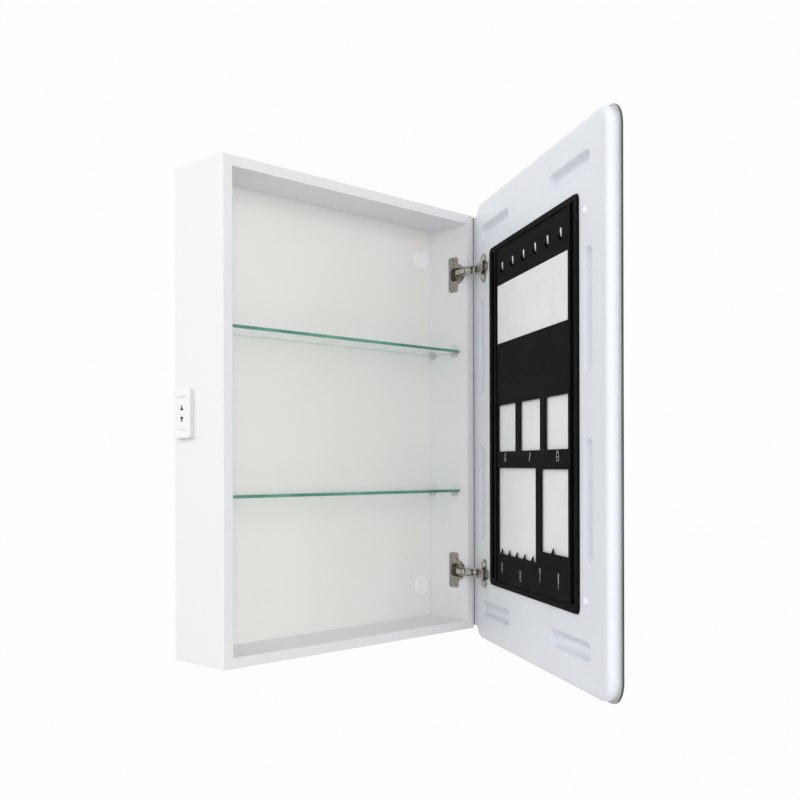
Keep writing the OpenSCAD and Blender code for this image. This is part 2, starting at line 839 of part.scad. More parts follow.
module wing_screws() {
    color("#c8c4bb") swung() for (side = [-1, 1], dz = [-1, 1]) at_hinge(side)
        translate([-wing_back, 0, dz * wing_pitch / 2]) {
            peg(0, 0, -door_gap + wing_t + screw_head_t, screw_head_t, screw_head);
            peg(0, 0, -door_gap + wing_t, wing_t + shell_d - 0.5, screw_dia);
        }
}

module arm_screws() {
    color("#c8c4bb") swung() for (side = [-1, 1], x = arm_screw_x) at_hinge(side) translate([x, 0, 0]) {
        peg(0, 0, -door_gap + arm_h + screw_head_t, screw_head_t, screw_head);
        peg(0, 0, -door_gap + arm_h, 6, screw_dia);
    }
}

// The holes of the two wing screws of one hinge, from the plane y towards the front by t
module wing_screw_hole(side, y, t) {
    for (dz = [-1, 1])
        peg(inner_x - wing_back, side * hinge_z + dz * wing_pitch / 2, y, t, screw_dia + 2 * hole_fit);
}

// Blocks between the shell and the frame bar, under the wing plates
module hinge_blocks() {
    depth = shell_d - bar_t - shell_wall;
    color("#c9ccce") swung() for (side = [-1, 1]) difference() {
        translate([inner_x - wing_back, 0, side * hinge_z]) upright(door_y - shell_wall, depth)
            square([hinge_block_w, hinge_block_h], center = true);
        wing_screw_hole(side, door_y, shell_d);
    }
}

// Shell of the door: a shallow tray with a soft rear edge
module edge_profile(reach, d, e) {
    difference() {
        square([reach, d]);
        translate([reach - e, 0]) difference() {
            translate([0, -1]) square([e + 1, e + 1]);
            translate([0, e]) circle(e);
        }
    }
}

module soft_tablet(w, h, r, d, e) {
    for (i = [0 : 3]) {
        x = (i == 0 || i == 3) ? w / 2 - r : r - w / 2;
        z = i < 2 ? h / 2 - r : r - h / 2;
        translate([x, z, 0]) rotate(90 * i) rotate_extrude(angle = 90) edge_profile(r, d, e);
    }
    for (side = [0, 1]) {
        rotate([90, 0, 180 * side]) translate([0, 0, r - h / 2])
            linear_extrude(h - 2 * r) edge_profile(w / 2, d, e);
        rotate([90, 0, 90 + 180 * side]) translate([0, 0, r - w / 2])
            linear_extrude(w - 2 * r) edge_profile(h / 2, d, e);
    }
}

// Places of the stiffening pockets, as [x, z, width, height], from the door's centre
near_x = door_w / 2 - near_pocket_s - shell_inset;
far_x = -door_w / 2 + far_pocket_s + shell_inset;
level_z = door_h / 2 - level_pocket_z;
pocket_spots = [
    for (x = [near_x, far_x], z = [133, -130]) [x, z, upright_pocket_w, upright_pocket_l],
    for (x = [door_w / 2 - 120, 138 - door_w / 2], side = [-1, 1])
        [x, side * level_z, level_pocket_l, level_pocket_h]
];

module pockets(grow, depth) {
    for (p = pocket_spots) translate([p[0], p[1], -1]) linear_extrude(depth + 1)
        rounded(p[2] + 2 * grow, p[3] + 2 * grow, min(pocket_r, p[2] / 2 - 1, p[3] / 2 - 1) + grow);
}

shell_w = door_w - 2 * shell_inset;
shell_h = door_h - 2 * shell_inset;
shell_r = mirror_r - shell_inset;
shell_cap_spots = [
    for (side = [-1, 1])
        [at_s(door_w - bar_inset + shell_screw_off), door_cz + side * (door_h / 2 - shell_screw_z)]
];

module door_shell() {
    color("#e3e6ea") swung() difference() {
        translate([door_cx, door_y, door_cz]) rotate([90, 0, 0]) difference() {
            soft_tablet(shell_w, shell_h, shell_r, shell_d, shell_edge);
            pockets(0, pocket_d);
            translate([0, tray_up, -1]) linear_extrude(tray_recess + 1)
                rounded(tray_w + 2 * fit, tray_h + 2 * fit, tray_r + fit);
            difference() {
                translate([0, 0, shell_wall]) soft_tablet(
                    shell_w - 2 * shell_wall, shell_h - 2 * shell_wall,
                    shell_r - shell_wall, shell_d, shell_edge - shell_wall);
                pockets(shell_wall, pocket_d + shell_wall);
                translate([0, tray_up, -1]) linear_extrude(tray_recess + shell_wall + 1)
                    rounded(tray_w + 2 * shell_wall, tray_h + 2 * shell_wall, tray_r);
            }
        }
        for (side = [-1, 1]) wing_screw_hole(side, door_y + 1, shell_wall + 2);
        for (p = shell_cap_spots) peg(p[0], p[1], door_y + 1, shell_wall + 2, screw_dia + 2 * hole_fit);
    }
}

module shell_caps() {
    color("#ffffff") swung() for (p = shell_cap_spots) difference() {
        peg(p[0], p[1], door_y + shell_cap_h, shell_cap_h, shell_cap_dia);
        peg(p[0], p[1], door_y + screw_head_t + fit, screw_head_t + fit + 1, screw_head + 2 * fit);
    }
}

module shell_screws() {
    color("#c8c4bb") swung() for (p = shell_cap_spots) {
        peg(p[0], p[1], door_y + screw_head_t, screw_head_t, screw_head);
        peg(p[0], p[1], door_y, shell_d - 0.5, screw_dia);
    }
}

module mirror_glass() {
    color("#aeb9bd") swung() translate([door_cx, 0, door_cz])
        upright(mirror_y, mirror_t) rounded(door_w, door_h, mirror_r);
}

// A rectangular ring behind the mirror, from inset by w, standing t off the glass
module ring(inset, w, t) {
    translate([door_cx, 0, door_cz]) upright(mirror_y + t, t) difference() {
        square([door_w - 2 * inset, door_h - 2 * inset], center = true);
        square([door_w - 2 * (inset + w), door_h - 2 * (inset + w)], center = true);
    }
}

module mirror_frame() {
    color("#c4c7ca") swung() difference() {
        ring(bar_inset - bar_w / 2, bar_w, bar_t);
        for (side = [-1, 1]) wing_screw_hole(side, mirror_y + bar_t + 1, bar_t + 2);
        for (p = shell_cap_spots)
            peg(p[0], p[1], mirror_y + bar_t + 1, bar_t + 2, screw_dia + 2 * hole_fit);
    }
}

// The LED strips stand on the outer sides of the frame bars and shine into the light guide
led_inset = bar_inset - bar_w / 2 - led_t;

module light_guide() {
    color("#eef4f6", 0.6) swung() ring(guide_inset, led_inset - fit - guide_inset, guide_t);
}

module led_strips() {
    color("#fff3c9") swung() ring(led_inset, led_t, bar_t);
}

module led_driver() {
    color("#f0f0ee") swung() translate([door_cx, 0, tray_cz + driver_up])
        upright(mirror_y + driver_t, driver_t) rounded(driver_w, driver_h, 4);
}

module touch_sensor() {
    color("#2c6e49") swung() translate([door_cx, 0, tray_cz - sensor_down])
        upright(mirror_y + sensor_t, sensor_t) rounded(sensor_w, sensor_h, 2);
}

// Organizer tray, dropped into the shell's recess
tray_back = tray_recess - backing_t;
groove_floor = 1.5;

module tray_cut(x0, x1, z0, z1) {
    translate([x0, z0]) square([x1 - x0, z1 - z0]);
}

small_xs = [-1, 0, 1] * (small_win_w + post_w);

module window_outlines() {
    tray_cut(-win_half, win_half, board_win[0], board_win[1]);
    for (x = small_xs) tray_cut(x - small_win_w / 2, x + small_win_w / 2, small_win[0], small_win[1]);
    tray_cut(-win_half, -win_half + right_win_w, right_win[0], right_win[1]);
    tray_cut(-win_half + right_win_w + post_w, win_half, left_win[0], left_win[1]);
}

module tooth() {
    polygon([[0, -1], [0, 0], [-tooth_h, tooth_h], [-tooth_h, -1]]);
}

module teeth_outline() {
    for (i = [0 : tooth_count - 1]) translate([win_half - tooth_pitch * (i + 0.4), left_win[0]]) tooth();
    translate([right_win_w * 0.62 - win_half, right_win[0]]) tooth();
}

hook_xs = [for (i = [0 : hook_count - 1]) hook_pitch * (i - (hook_count - 1) / 2)];

// The tray's own frame: x towards the hinge side, z up, depth 0 at the shell's surface
module tray_slab(top, bottom) {
    upright(top, top - bottom) children();
}

module organizer_tray() {
    side_x = tray_w / 2 - ridge_outer - ridge_groove;
    hook_z0 = hook_z - hook_slot_h / 2;
    color("#1b1b1c") swung() translate([door_cx, door_y, tray_cz]) {
        difference() {
            tray_slab(rim_proud, -tray_back) rounded(tray_w, tray_h, tray_r);
            tray_slab(rim_proud + 1, face_proud)
                square([2 * field_half, tray_h - 2 * ridge_level], center = true);
            tray_slab(face_proud - face_t, -tray_back - 1)
                square([2 * win_half + 4, tray_h - 2 * ridge_level], center = true);
            for (side = [-1, 1]) translate([side * (side_x + ridge_groove / 2), 0, 2])
                tray_slab(rim_proud + 1, groove_floor - tray_back)
                square([ridge_groove, tray_h - 2 * ridge_level - 4], center = true);
            tray_slab(rim_proud + 2, -tray_back - 1) difference() {
                window_outlines();
                teeth_outline();
            }
            for (x = hook_xs) translate([x, 0, hook_z]) tray_slab(rim_proud + 2, -tray_back - 1)
                rounded(hook_slot_w, hook_slot_h, hook_slot_w / 2 - 0.2);
        }
        for (x = hook_xs) translate([x, 0, hook_z0]) {
            block([-1.5, face_proud - 0.5, -6], [1.5, face_proud + hook_reach, -3.5]);
            block([-1.5, face_proud + hook_reach - 2, -6], [1.5, face_proud + hook_reach, 0.5]);
        }
    }
}

module tray_backing() {
    color("#e9ebed") swung() translate([door_cx, 0, tray_cz]) upright(door_y - tray_back, backing_t)
        rounded(tray_w - 2 * fit, tray_h - 2 * fit, tray_r);
}

module memo_board() {
    color("#dcdddd") swung() translate([door_cx, 0, tray_cz + (board_win[0] + board_win[1]) / 2])
        upright(door_y + face_proud - 0.3, tray_back + face_proud - 0.3)
        square([2 * win_half - 2 * fit, board_win[1] - board_win[0] - 2 * fit], center = true);
}

left_side_board();
right_side_board();
top_board();
bottom_board();
back_board();
upper_rail();
lower_rail();
dowels();
access_caps();
upper_shelf();
lower_shelf();
shelf_pins();
socket_box();
socket_plate();
socket_insert();
socket_contacts();
terminal_box();
terminal_lid();
terminal_screws();
cable_grommet();
upper_hinge_cup();
lower_hinge_cup();
cup_screws();
cup_pins();
upper_hinge_link();
upper_link_pin();
lower_hinge_link();
lower_link_pin();
mirror_glass();
door_shell();
mirror_frame();
light_guide();
led_strips();
led_driver();
touch_sensor();
organizer_tray();
tray_backing();
memo_board();
shell_caps();
shell_screws();
upper_hinge_arm();
lower_hinge_arm();
upper_wing_plate();
lower_wing_plate();
hinge_blocks();
wing_screws();
arm_screws();
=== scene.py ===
import json
import math

import bmesh
import bpy
from mathutils import Matrix, Vector


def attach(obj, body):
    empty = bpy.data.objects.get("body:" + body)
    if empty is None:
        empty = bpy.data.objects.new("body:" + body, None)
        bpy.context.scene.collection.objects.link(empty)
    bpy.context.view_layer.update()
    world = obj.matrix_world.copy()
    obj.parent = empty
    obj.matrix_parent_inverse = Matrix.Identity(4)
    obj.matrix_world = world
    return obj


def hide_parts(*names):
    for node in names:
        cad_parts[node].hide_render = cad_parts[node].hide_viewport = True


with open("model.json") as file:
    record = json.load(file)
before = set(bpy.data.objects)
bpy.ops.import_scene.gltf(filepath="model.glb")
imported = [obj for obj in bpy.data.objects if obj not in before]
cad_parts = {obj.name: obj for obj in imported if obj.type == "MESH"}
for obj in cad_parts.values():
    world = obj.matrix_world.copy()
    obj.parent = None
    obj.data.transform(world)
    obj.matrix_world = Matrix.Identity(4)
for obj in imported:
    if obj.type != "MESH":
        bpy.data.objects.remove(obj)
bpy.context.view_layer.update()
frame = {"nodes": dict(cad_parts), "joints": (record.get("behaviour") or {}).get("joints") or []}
nodes = frame["nodes"]
scene = bpy.context.scene

# Camera
# The cabinet is seen level, from its left front, at the height of its lower half.
# The open door turns its shell and tray towards the camera.
camera_data = bpy.data.cameras.new("camera")
camera_data.lens = 47.9
camera_data.sensor_width = 36.0
camera_data.shift_y = 0.082
camera_data.clip_start = 0.05
camera = bpy.data.objects.new("camera", camera_data)
camera.location = (-1.2249, -1.3968, -0.080)
camera.rotation_euler = (math.radians(90.0), math.radians(0.13), math.radians(-45.91))
scene.collection.objects.link(camera)
scene.camera = camera
scene.view_settings.view_transform = "Standard"

# Studio
# A plain white floor well below the cabinet and white air all round it.
# Two large soft lamps stand to the left and in front.


def ray_share(tree, kinds):
    """A value of 1 for light paths of any of the named kinds, and 0 for all others."""
    paths = tree.nodes.new("ShaderNodeLightPath")
    share = paths.outputs[kinds[0]]
    for kind in kinds[1:]:
        either = tree.nodes.new("ShaderNodeMath")
        either.operation = "MAXIMUM"
        tree.links.new(share, either.inputs[0])
        tree.links.new(paths.outputs[kind], either.inputs[1])
        share = either.outputs[0]
    return share


def blend_shaders(tree, share, first, second, end):
    """The end node shows the first shader, and the second in its place by share."""
    mix = tree.nodes.new("ShaderNodeMixShader")
    tree.links.new(share, mix.inputs[0])
    tree.links.new(first.outputs[0], mix.inputs[1])
    tree.links.new(second.outputs[0], mix.inputs[2])
    tree.links.new(mix.outputs[0], tree.nodes[end].inputs["Surface"])


studio_white = (1.0, 1.0, 1.0, 1.0)
seen_rays = ("Is Camera Ray", "Is Glossy Ray", "Is Transmission Ray")
floor_level = -1.1
bpy.ops.mesh.primitive_plane_add(size=30.0, location=(0.0, 0.0, floor_level))
floor = bpy.context.object
floor.name = "floor"
floor_white = bpy.data.materials.new("floor_white")
floor_white.use_nodes = True
floor_tree = floor_white.node_tree
floor_paint = floor_tree.nodes["Principled BSDF"]
floor_paint.inputs["Base Color"].default_value = (0.62, 0.62, 0.62, 1.0)
floor_paint.inputs["Roughness"].default_value = 0.9
floor_glow = floor_tree.nodes.new("ShaderNodeEmission")
floor_glow.inputs["Color"].default_value = studio_white
floor_glow.inputs["Strength"].default_value = 1.0
floor_share = floor_tree.nodes.new("ShaderNodeMath")
floor_share.operation = "MULTIPLY"
floor_share.inputs[1].default_value = 0.97
floor_tree.links.new(ray_share(floor_tree, seen_rays), floor_share.inputs[0])
blend_shaders(floor_tree, floor_share.outputs[0], floor_paint, floor_glow, "Material Output")
floor.data.materials.append(floor_white)

studio_air = bpy.data.worlds.new("studio_air")
studio_air.use_nodes = True
scene.world = studio_air
air_tree = studio_air.node_tree
air_light = air_tree.nodes["Background"]
air_white = air_tree.nodes.new("ShaderNodeBackground")
for air, strength in ((air_light, 0.72), (air_white, 0.985)):
    air.inputs["Color"].default_value = studio_white
    air.inputs["Strength"].default_value = strength
blend_shaders(air_tree, ray_share(air_tree, seen_rays), air_light, air_white, "World Output")


def soft_lamp(name, place, width, height, watts):
    """A large flat lamp, in metres, that faces the middle of the cabinet."""
    data = bpy.data.lights.new(name, "AREA")
    data.shape = "RECTANGLE"
    data.size = width
    data.size_y = height
    data.energy = watts
    lamp = bpy.data.objects.new(name, data)
    lamp.location = place
    lamp.rotation_euler = (-Vector(place)).to_track_quat("-Z", "Y").to_euler()
    lamp.visible_glossy = False
    scene.collection.objects.link(lamp)


soft_lamp("left_lamp", (-3.3, 0.8, 1.4), 1.8, 2.4, 34.0)
soft_lamp("front_lamp", (-1.6, -2.9, 0.4), 1.8, 2.0, 37.0)

# Boards of the body
# Four boards of 16 mm chipboard faced with white melamine, their front edges taped in white.
# They are dowelled at the corners and meet without a gap.


def paint(red, green, blue):
    """A colour as a paint chart or a photograph gives it, each part from 0 to 255."""
    def straight(part):
        part /= 255.0
        return part / 12.92 if part <= 0.04045 else ((part + 0.055) / 1.055) ** 2.4
    return straight(red), straight(green), straight(blue)


def shader_input(finish, name):
    return finish.node_tree.nodes["Principled BSDF"].inputs[name]


def plain_finish(name, colour, roughness, metallic=0.0):
    finish = bpy.data.materials.new(name)
    finish.use_nodes = True
    shader_input(finish, "Base Color").default_value = (*colour, 1.0)
    shader_input(finish, "Roughness").default_value = roughness
    shader_input(finish, "Metallic").default_value = metallic
    return finish


def add_noise(finish, size, stretch=(1.0, 1.0, 1.0), detail=3.0):
    """A noise whose spots are about size metres across, longer where stretch is below 1."""
    tree = finish.node_tree
    place = tree.nodes.new("ShaderNodeTexCoord")
    scale = tree.nodes.new("ShaderNodeMapping")
    scale.inputs["Scale"].default_value = stretch
    noise = tree.nodes.new("ShaderNodeTexNoise")
    noise.inputs["Scale"].default_value = 1.0 / size
    noise.inputs["Detail"].default_value = detail
    tree.links.new(place.outputs["Object"], scale.inputs["Vector"])
    tree.links.new(scale.outputs["Vector"], noise.inputs["Vector"])
    return noise.outputs["Fac"]


def colour_by(finish, level, dark, light, low, high):
    """Colours a finish from dark to light as level, a node's output, goes from low to high."""
    tree = finish.node_tree
    tones = tree.nodes.new("ShaderNodeValToRGB")
    for stop, position, colour in zip(tones.color_ramp.elements, (low, high), (dark, light)):
        stop.position = position
        stop.color = (*colour, 1.0)
    tree.links.new(level, tones.inputs["Fac"])
    tree.links.new(tones.outputs["Color"], shader_input(finish, "Base Color"))


def add_tone(finish, size, dark, light, stretch=(1.0, 1.0, 1.0)):
    """The colour drifts between two near tones."""
    colour_by(finish, add_noise(finish, size, stretch), dark, light, 0.3, 0.7)


def add_gloss(finish, size, low, high, stretch=(1.0, 1.0, 1.0)):
    """The gloss changes a little from place to place, as on a handled surface."""
    tree = finish.node_tree
    spread = tree.nodes.new("ShaderNodeMapRange")
    spread.inputs["To Min"].default_value = low
    spread.inputs["To Max"].default_value = high
    tree.links.new(add_noise(finish, size, stretch), spread.inputs["Value"])
    tree.links.new(spread.outputs["Result"], shader_input(finish, "Roughness"))


def add_skin(finish, size, height, stretch=(1.0, 1.0, 1.0)):
    """A fine unevenness of the surface, height metres deep."""
    tree = finish.node_tree
    relief = tree.nodes.new("ShaderNodeBump")
    relief.inputs["Distance"].default_value = height
    tree.links.new(add_noise(finish, size, stretch), relief.inputs["Height"])
    tree.links.new(relief.outputs["Normal"], shader_input(finish, "Normal"))


def add_soft_edges(finish, radius):
    """Light runs round sharp edges as if they were rounded by radius metres."""
    tree = finish.node_tree
    rounded = tree.nodes.new("ShaderNodeBevel")
    rounded.samples = 4
    rounded.inputs["Radius"].default_value = radius
    relief = next((node for node in tree.nodes if node.type == "BUMP"), None)
    target = relief or tree.nodes["Principled BSDF"]
    tree.links.new(rounded.outputs["Normal"], target.inputs["Normal"])


def add_tape_and_shade(finish, face_tone, tape_and_shade_tone, tape_y):
    """The front edges, at a Y below tape_y, are a slightly greyer white: partly the tape's own
    tone, partly painted shade.
    """
    tree = finish.node_tree
    place = tree.nodes.new("ShaderNodeTexCoord")
    axes = tree.nodes.new("ShaderNodeSeparateXYZ")
    tree.links.new(place.outputs["Object"], axes.inputs["Vector"])
    front_mask = tree.nodes.new("ShaderNodeMath")
    front_mask.operation = "LESS_THAN"
    front_mask.inputs[1].default_value = tape_y
    tree.links.new(axes.outputs["Y"], front_mask.inputs[0])
    share = tree.nodes.new("ShaderNodeMath")
    share.operation = "MULTIPLY_ADD"
    share.inputs[1].default_value = 0.12
    tree.links.new(add_noise(finish, 0.2), share.inputs[0])
    tree.links.new(front_mask.outputs[0], share.inputs[2])
    colour_by(finish, share.outputs[0], face_tone, tape_and_shade_tone, 0.0, 1.0)


def dress(names, finish, edge_radius=0.0):
    """Puts a finish on carried nodes, and breaks their sharp edges by edge_radius metres."""
    for name in names:
        part = nodes[name]
        part.data.materials.clear()
        part.data.materials.append(finish)
        if edge_radius:
            weld = part.modifiers.new("joined_faces", "WELD")
            weld.merge_threshold = 0.000001
            broken = part.modifiers.new("broken_edges", "BEVEL")
            broken.width = edge_radius
            broken.segments = 2
            broken.limit_method = "ANGLE"
            broken.angle_limit = math.radians(35.0)
            broken.use_clamp_overlap = False


taped_front_y = -0.1247
melamine = plain_finish("white_melamine", paint(244, 244, 246), 0.42)
# The greyer front edges are partly the tape's tone and partly painted shade of the forward faces.
add_tape_and_shade(melamine, paint(241, 241, 244), paint(236, 236, 238), taped_front_y)
add_gloss(melamine, 0.03, 0.38, 0.48)
add_skin(melamine, 0.0012, 0.00002)
add_soft_edges(melamine, 0.0006)
dress(["left_side_board", "right_side_board", "top_board", "bottom_board"], melamine)

# Back board
# A thinner board in a groove of the other four, faced in a warmer, duller white.
warm_white = plain_finish("warm_white_board", paint(245, 243, 239), 0.55)
add_tone(warm_white, 0.25, paint(243, 241, 237), paint(247, 245, 241))
add_gloss(warm_white, 0.05, 0.5, 0.6)
add_skin(warm_white, 0.0015, 0.00002)
dress(["back_board"], warm_white)

# Hanging rails and dowels
# Two planed softwood rails behind the back board take the wall screws.
# Beech dowels hold them and the boards between the sides.


def add_wood(finish, dark, light, ring_size):
    """Grain that runs along X, with long streaks and fine pores."""
    streaks = add_noise(finish, ring_size, (0.04, 1.0, 1.0), 6.0)
    colour_by(finish, streaks, dark, light, 0.35, 0.65)
    add_skin(finish, ring_size / 4.0, 0.00008, (0.05, 1.0, 1.0))


softwood = plain_finish("planed_softwood", paint(214, 190, 148), 0.6)
add_wood(softwood, paint(196, 166, 120), paint(222, 200, 160), 0.008)
add_gloss(softwood, 0.01, 0.5, 0.7)
dress(["upper_rail", "lower_rail"], softwood, 0.0008)
beech = plain_finish("beech_dowel", paint(205, 172, 124), 0.6)
add_wood(beech, paint(190, 150, 100), paint(214, 184, 140), 0.002)
dress(["dowels"], beech, 0.0004)

# Access caps
# Four round white plastic caps close the holes through which the wall screws are driven.
# Each has a soft raised rim round a flat middle, and a short skirt that grips the hole.


def move(x, y, z):
    return Matrix.Translation((x, y, z))


def roll(degrees, axis):
    return Matrix.Rotation(math.radians(degrees), 4, axis)


def turned(sheet, profile, steps, placing):
    """Adds a turned piece to sheet: profile is (radius, height) in mm, turned about local Z."""
    rings = []
    for radius, height in profile:
        turns = steps if radius else 1
        rings.append([
            sheet.verts.new(placing @ Vector((
                radius * math.cos(2.0 * math.pi * i / steps),
                radius * math.sin(2.0 * math.pi * i / steps), height)))
            for i in range(turns)
        ])
    for low, high in zip(rings, rings[1:]):
        for i in range(steps):
            j = (i + 1) % steps
            if len(low) == 1:
                sheet.faces.new((low[0], high[i], high[j]))
            elif len(high) == 1:
                sheet.faces.new((low[i], low[j], high[0]))
            else:
                sheet.faces.new((low[i], low[j], high[j], high[i]))


def make_piece(name, sheet, finishes, body, stands_for=(), crease=35.0, placing=None):
    """Turns a sheet drawn in mm into a piece that rides on a body, smooth below crease degrees."""
    bmesh.ops.recalc_face_normals(sheet, faces=sheet.faces)
    mesh = bpy.data.meshes.new(name)
    sheet.to_mesh(mesh)
    sheet.free()
    mesh.transform(Matrix.Scale(0.001, 4))
    mesh.shade_smooth()
    mesh.set_sharp_from_angle(angle=math.radians(crease))
    for finish in finishes:
        mesh.materials.append(finish)
    piece = bpy.data.objects.new(name, mesh)
    scene.collection.objects.link(piece)
    if placing is not None:
        piece.matrix_world = placing
    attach(piece, body)
    for node in stands_for:
        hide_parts(node)
    return piece


cap_white = plain_finish("cap_white", paint(250, 250, 252), 0.35)
add_gloss(cap_white, 0.01, 0.3, 0.42)
add_skin(cap_white, 0.0008, 0.00001)
cap_profile = [
    (0.0, 1.7), (13.6, 1.7), (14.5, 1.8), (15.2, 2.2), (15.8, 2.6), (16.4, 2.7), (17.0, 2.45),
    (17.7, 1.8), (18.4, 1.1), (18.9, 0.5), (19.0, 0.0), (17.1, 0.0), (17.1, -6.5), (16.6, -7.9),
    (14.6, -7.9), (14.6, -0.6), (0.0, -0.6),
]
back_board_front = -31.0
cap_sheet = bmesh.new()
for cap_x in (-244.0, 244.0):
    for cap_z in (-306.0, 306.0):
        facing_front = move(cap_x, back_board_front, cap_z) @ roll(90.0, "X")
        turned(cap_sheet, cap_profile, 64, facing_front)
make_piece("caps_over_wall_screws", cap_sheet, [cap_white], "cabinet", ["access_caps"],
           50.0)

# Glass shelves
# Two loose shelves of 5 mm float glass. Their edges are ground and polished, and show the green
# of the glass as they are looked into lengthwise, but the rear edges carry a painted reflection.


def ring_points(size, inset, steps):
    """A rounded rectangle, moved inwards by inset: size is (half width, half height, radius)."""
    half_w, half_h, radius = size
    radius = max(radius - inset, 0.05)
    points = []
    for quarter, (side_x, side_y) in enumerate(((1, 1), (-1, 1), (-1, -1), (1, -1))):
        centre_x = side_x * (half_w - inset - radius)
        centre_y = side_y * (half_h - inset - radius)
        for i in range(steps + 1):
            turn = math.radians(90.0) * (quarter + i / steps)
            points.append((centre_x + radius * math.cos(turn), centre_y + radius * math.sin(turn)))
    return points


def add_ring(sheet, points, height, placing):
    return [sheet.verts.new(placing @ Vector((x, y, height))) for x, y in points]


def add_rings(sheet, size, levels, steps, placing):
    """One rounded rectangle again and again, at each (inset, height) of levels."""
    return [
        add_ring(sheet, ring_points(size, inset, steps), height, placing)
        for inset, height in levels
    ]


def join_rings(sheet, rings, mark=0):
    """Lays faces between neighbouring rings; mark is the number of their finish."""
    for low, high in zip(rings, rings[1:]):
        for i in range(len(low)):
            j = (i + 1) % len(low)
            sheet.faces.new((low[i], low[j], high[j], high[i])).material_index = mark


def fill_between(sheet, rings, mark=0):
    """Fills a flat face between its outer ring and the rings of its holes."""
    edges = []
    for ring in rings:
        for i, vertex in enumerate(ring):
            neighbour = ring[(i + 1) % len(ring)]
            edge = sheet.edges.get((vertex, neighbour)) or sheet.edges.new((vertex, neighbour))
            edges.append(edge)
    filled = bmesh.ops.triangle_fill(sheet, use_beauty=True, use_dissolve=False, edges=edges)
    for face in filled["geom"]:
        if isinstance(face, bmesh.types.BMFace):
            face.material_index = mark


glass_ior = 1.5
shelf_glass = plain_finish("float_glass", (0.93, 0.985, 0.965), 0.0)
shader_input(shelf_glass, "Transmission Weight").default_value = 1.0
shader_input(shelf_glass, "IOR").default_value = glass_ior
add_skin(shelf_glass, 0.12, 0.00001)
glass_tree = shelf_glass.node_tree
glass_shadow = glass_tree.nodes.new("ShaderNodeBsdfTransparent")
glass_shadow.inputs["Color"].default_value = (0.90, 0.95, 0.93, 1.0)
blend_shaders(
    glass_tree, ray_share(glass_tree, ("Is Shadow Ray", "Is Diffuse Ray")),
    glass_tree.nodes["Principled BSDF"], glass_shadow, "Material Output")
shelf_edge = plain_finish("polished_glass_edge", paint(88, 150, 128), 0.12)
add_tone(shelf_edge, 0.02, paint(70, 132, 112), paint(112, 172, 150), (0.25, 1.0, 1.0))
shader_input(shelf_edge, "IOR").default_value = glass_ior
# Painted reflection: the rear edges are painted a pale grey-white instead of the glass's green.
shelf_rear_painted_reflection = plain_finish("rear_glass_edge_painted_reflection", paint(214, 222, 216), 0.2)
add_tone(shelf_rear_painted_reflection, 0.02, paint(210, 218, 212), paint(220, 227, 222))
shelf_w, shelf_d, shelf_t, shelf_front = 532.0, 75.7, 5.0, -107.0
green_edge_end = -90.0
for shelf_name, shelf_level in (("upper_shelf", 130.5), ("lower_shelf", -126.5)):
    shelf_sheet = bmesh.new()
    shelf_rings = add_rings(
        shelf_sheet, (shelf_w / 2.0, shelf_d / 2.0, 2.0),
        ((0.5, 0.0), (0.0, 0.5), (0.0, shelf_t - 0.5), (0.5, shelf_t)), 4,
        move(0.0, shelf_front + shelf_d / 2.0, shelf_level - shelf_t / 2.0))
    join_rings(shelf_sheet, shelf_rings, 1)
    # Faces towards the back take the painted reflection.
    for face in shelf_sheet.faces:
        if face.calc_center_median().y > green_edge_end:
            face.material_index = 2
    fill_between(shelf_sheet, [shelf_rings[0]])
    fill_between(shelf_sheet, [shelf_rings[-1]])
    make_piece("glass_" + shelf_name, shelf_sheet, [shelf_glass, shelf_edge, shelf_rear_painted_reflection],
               "cabinet", [shelf_name], 25.0)

# Shelf pins
# Eight clear plastic pins carry the shelves. Each has a plain shank in the side board, a round
# head whose top is flat under the glass, and an arm that rises beside the glass's end and
# hooks over it.


def heading(path, step):
    """How far a drawn line runs, along and up, between the neighbours of one of its points."""
    before, after = path[max(step - 1, 0)], path[min(step + 1, len(path) - 1)]
    return after[0] - before[0], after[1] - before[1]


pin_clear = plain_finish("clear_plastic", paint(236, 237, 239), 0.12)
shader_input(pin_clear, "Transmission Weight").default_value = 0.35
shader_input(pin_clear, "IOR").default_value = 1.49
add_gloss(pin_clear, 0.002, 0.08, 0.2)
dress(["shelf_pins"], pin_clear, 0.0005)
# Painted highlight: the arms are painted a brighter, less clear white than the pins of the same
# plastic.
arm_painted_highlight = plain_finish("clear_plastic_arm_painted_highlight", paint(252, 252, 253), 0.1)
shader_input(arm_painted_highlight, "Transmission Weight").default_value = 0.1
add_gloss(arm_painted_highlight, 0.002, 0.08, 0.2)
side_board_face = 267.0
clip_path = [
    (0.5, -3.0), (0.5, 12.0), (0.8, 13.4), (1.7, 14.5), (3.0, 14.8), (4.2, 14.2), (4.8, 13.0),
]
arm_t, arm_w = 0.66, 3.6
clip_section = [
    (arm_t * t, arm_w * w) for t, w in ((-0.5, -0.5), (-0.5, 0.5), (0.5, 0.5), (0.5, -0.5))
]
clip_sheet = bmesh.new()
for side in (-1, 1):
    for clip_y in (-96.0, -42.3):
        for underside in (-129.0, 128.0):
            clip_rings = []
            for step, (inwards, up) in enumerate(clip_path):
                along = Vector(heading(clip_path, step)).normalized()
                clip_rings.append([
                    clip_sheet.verts.new((
                        side * (side_board_face - inwards + t * along.y), clip_y + w,
                        underside + up + t * along.x))
                    for t, w in clip_section
                ])
            join_rings(clip_sheet, clip_rings)
            clip_sheet.faces.new(clip_rings[0])
            clip_sheet.faces.new(clip_rings[-1])
make_piece("shelf_pin_arms", clip_sheet, [arm_painted_highlight], "cabinet", [], 40.0)
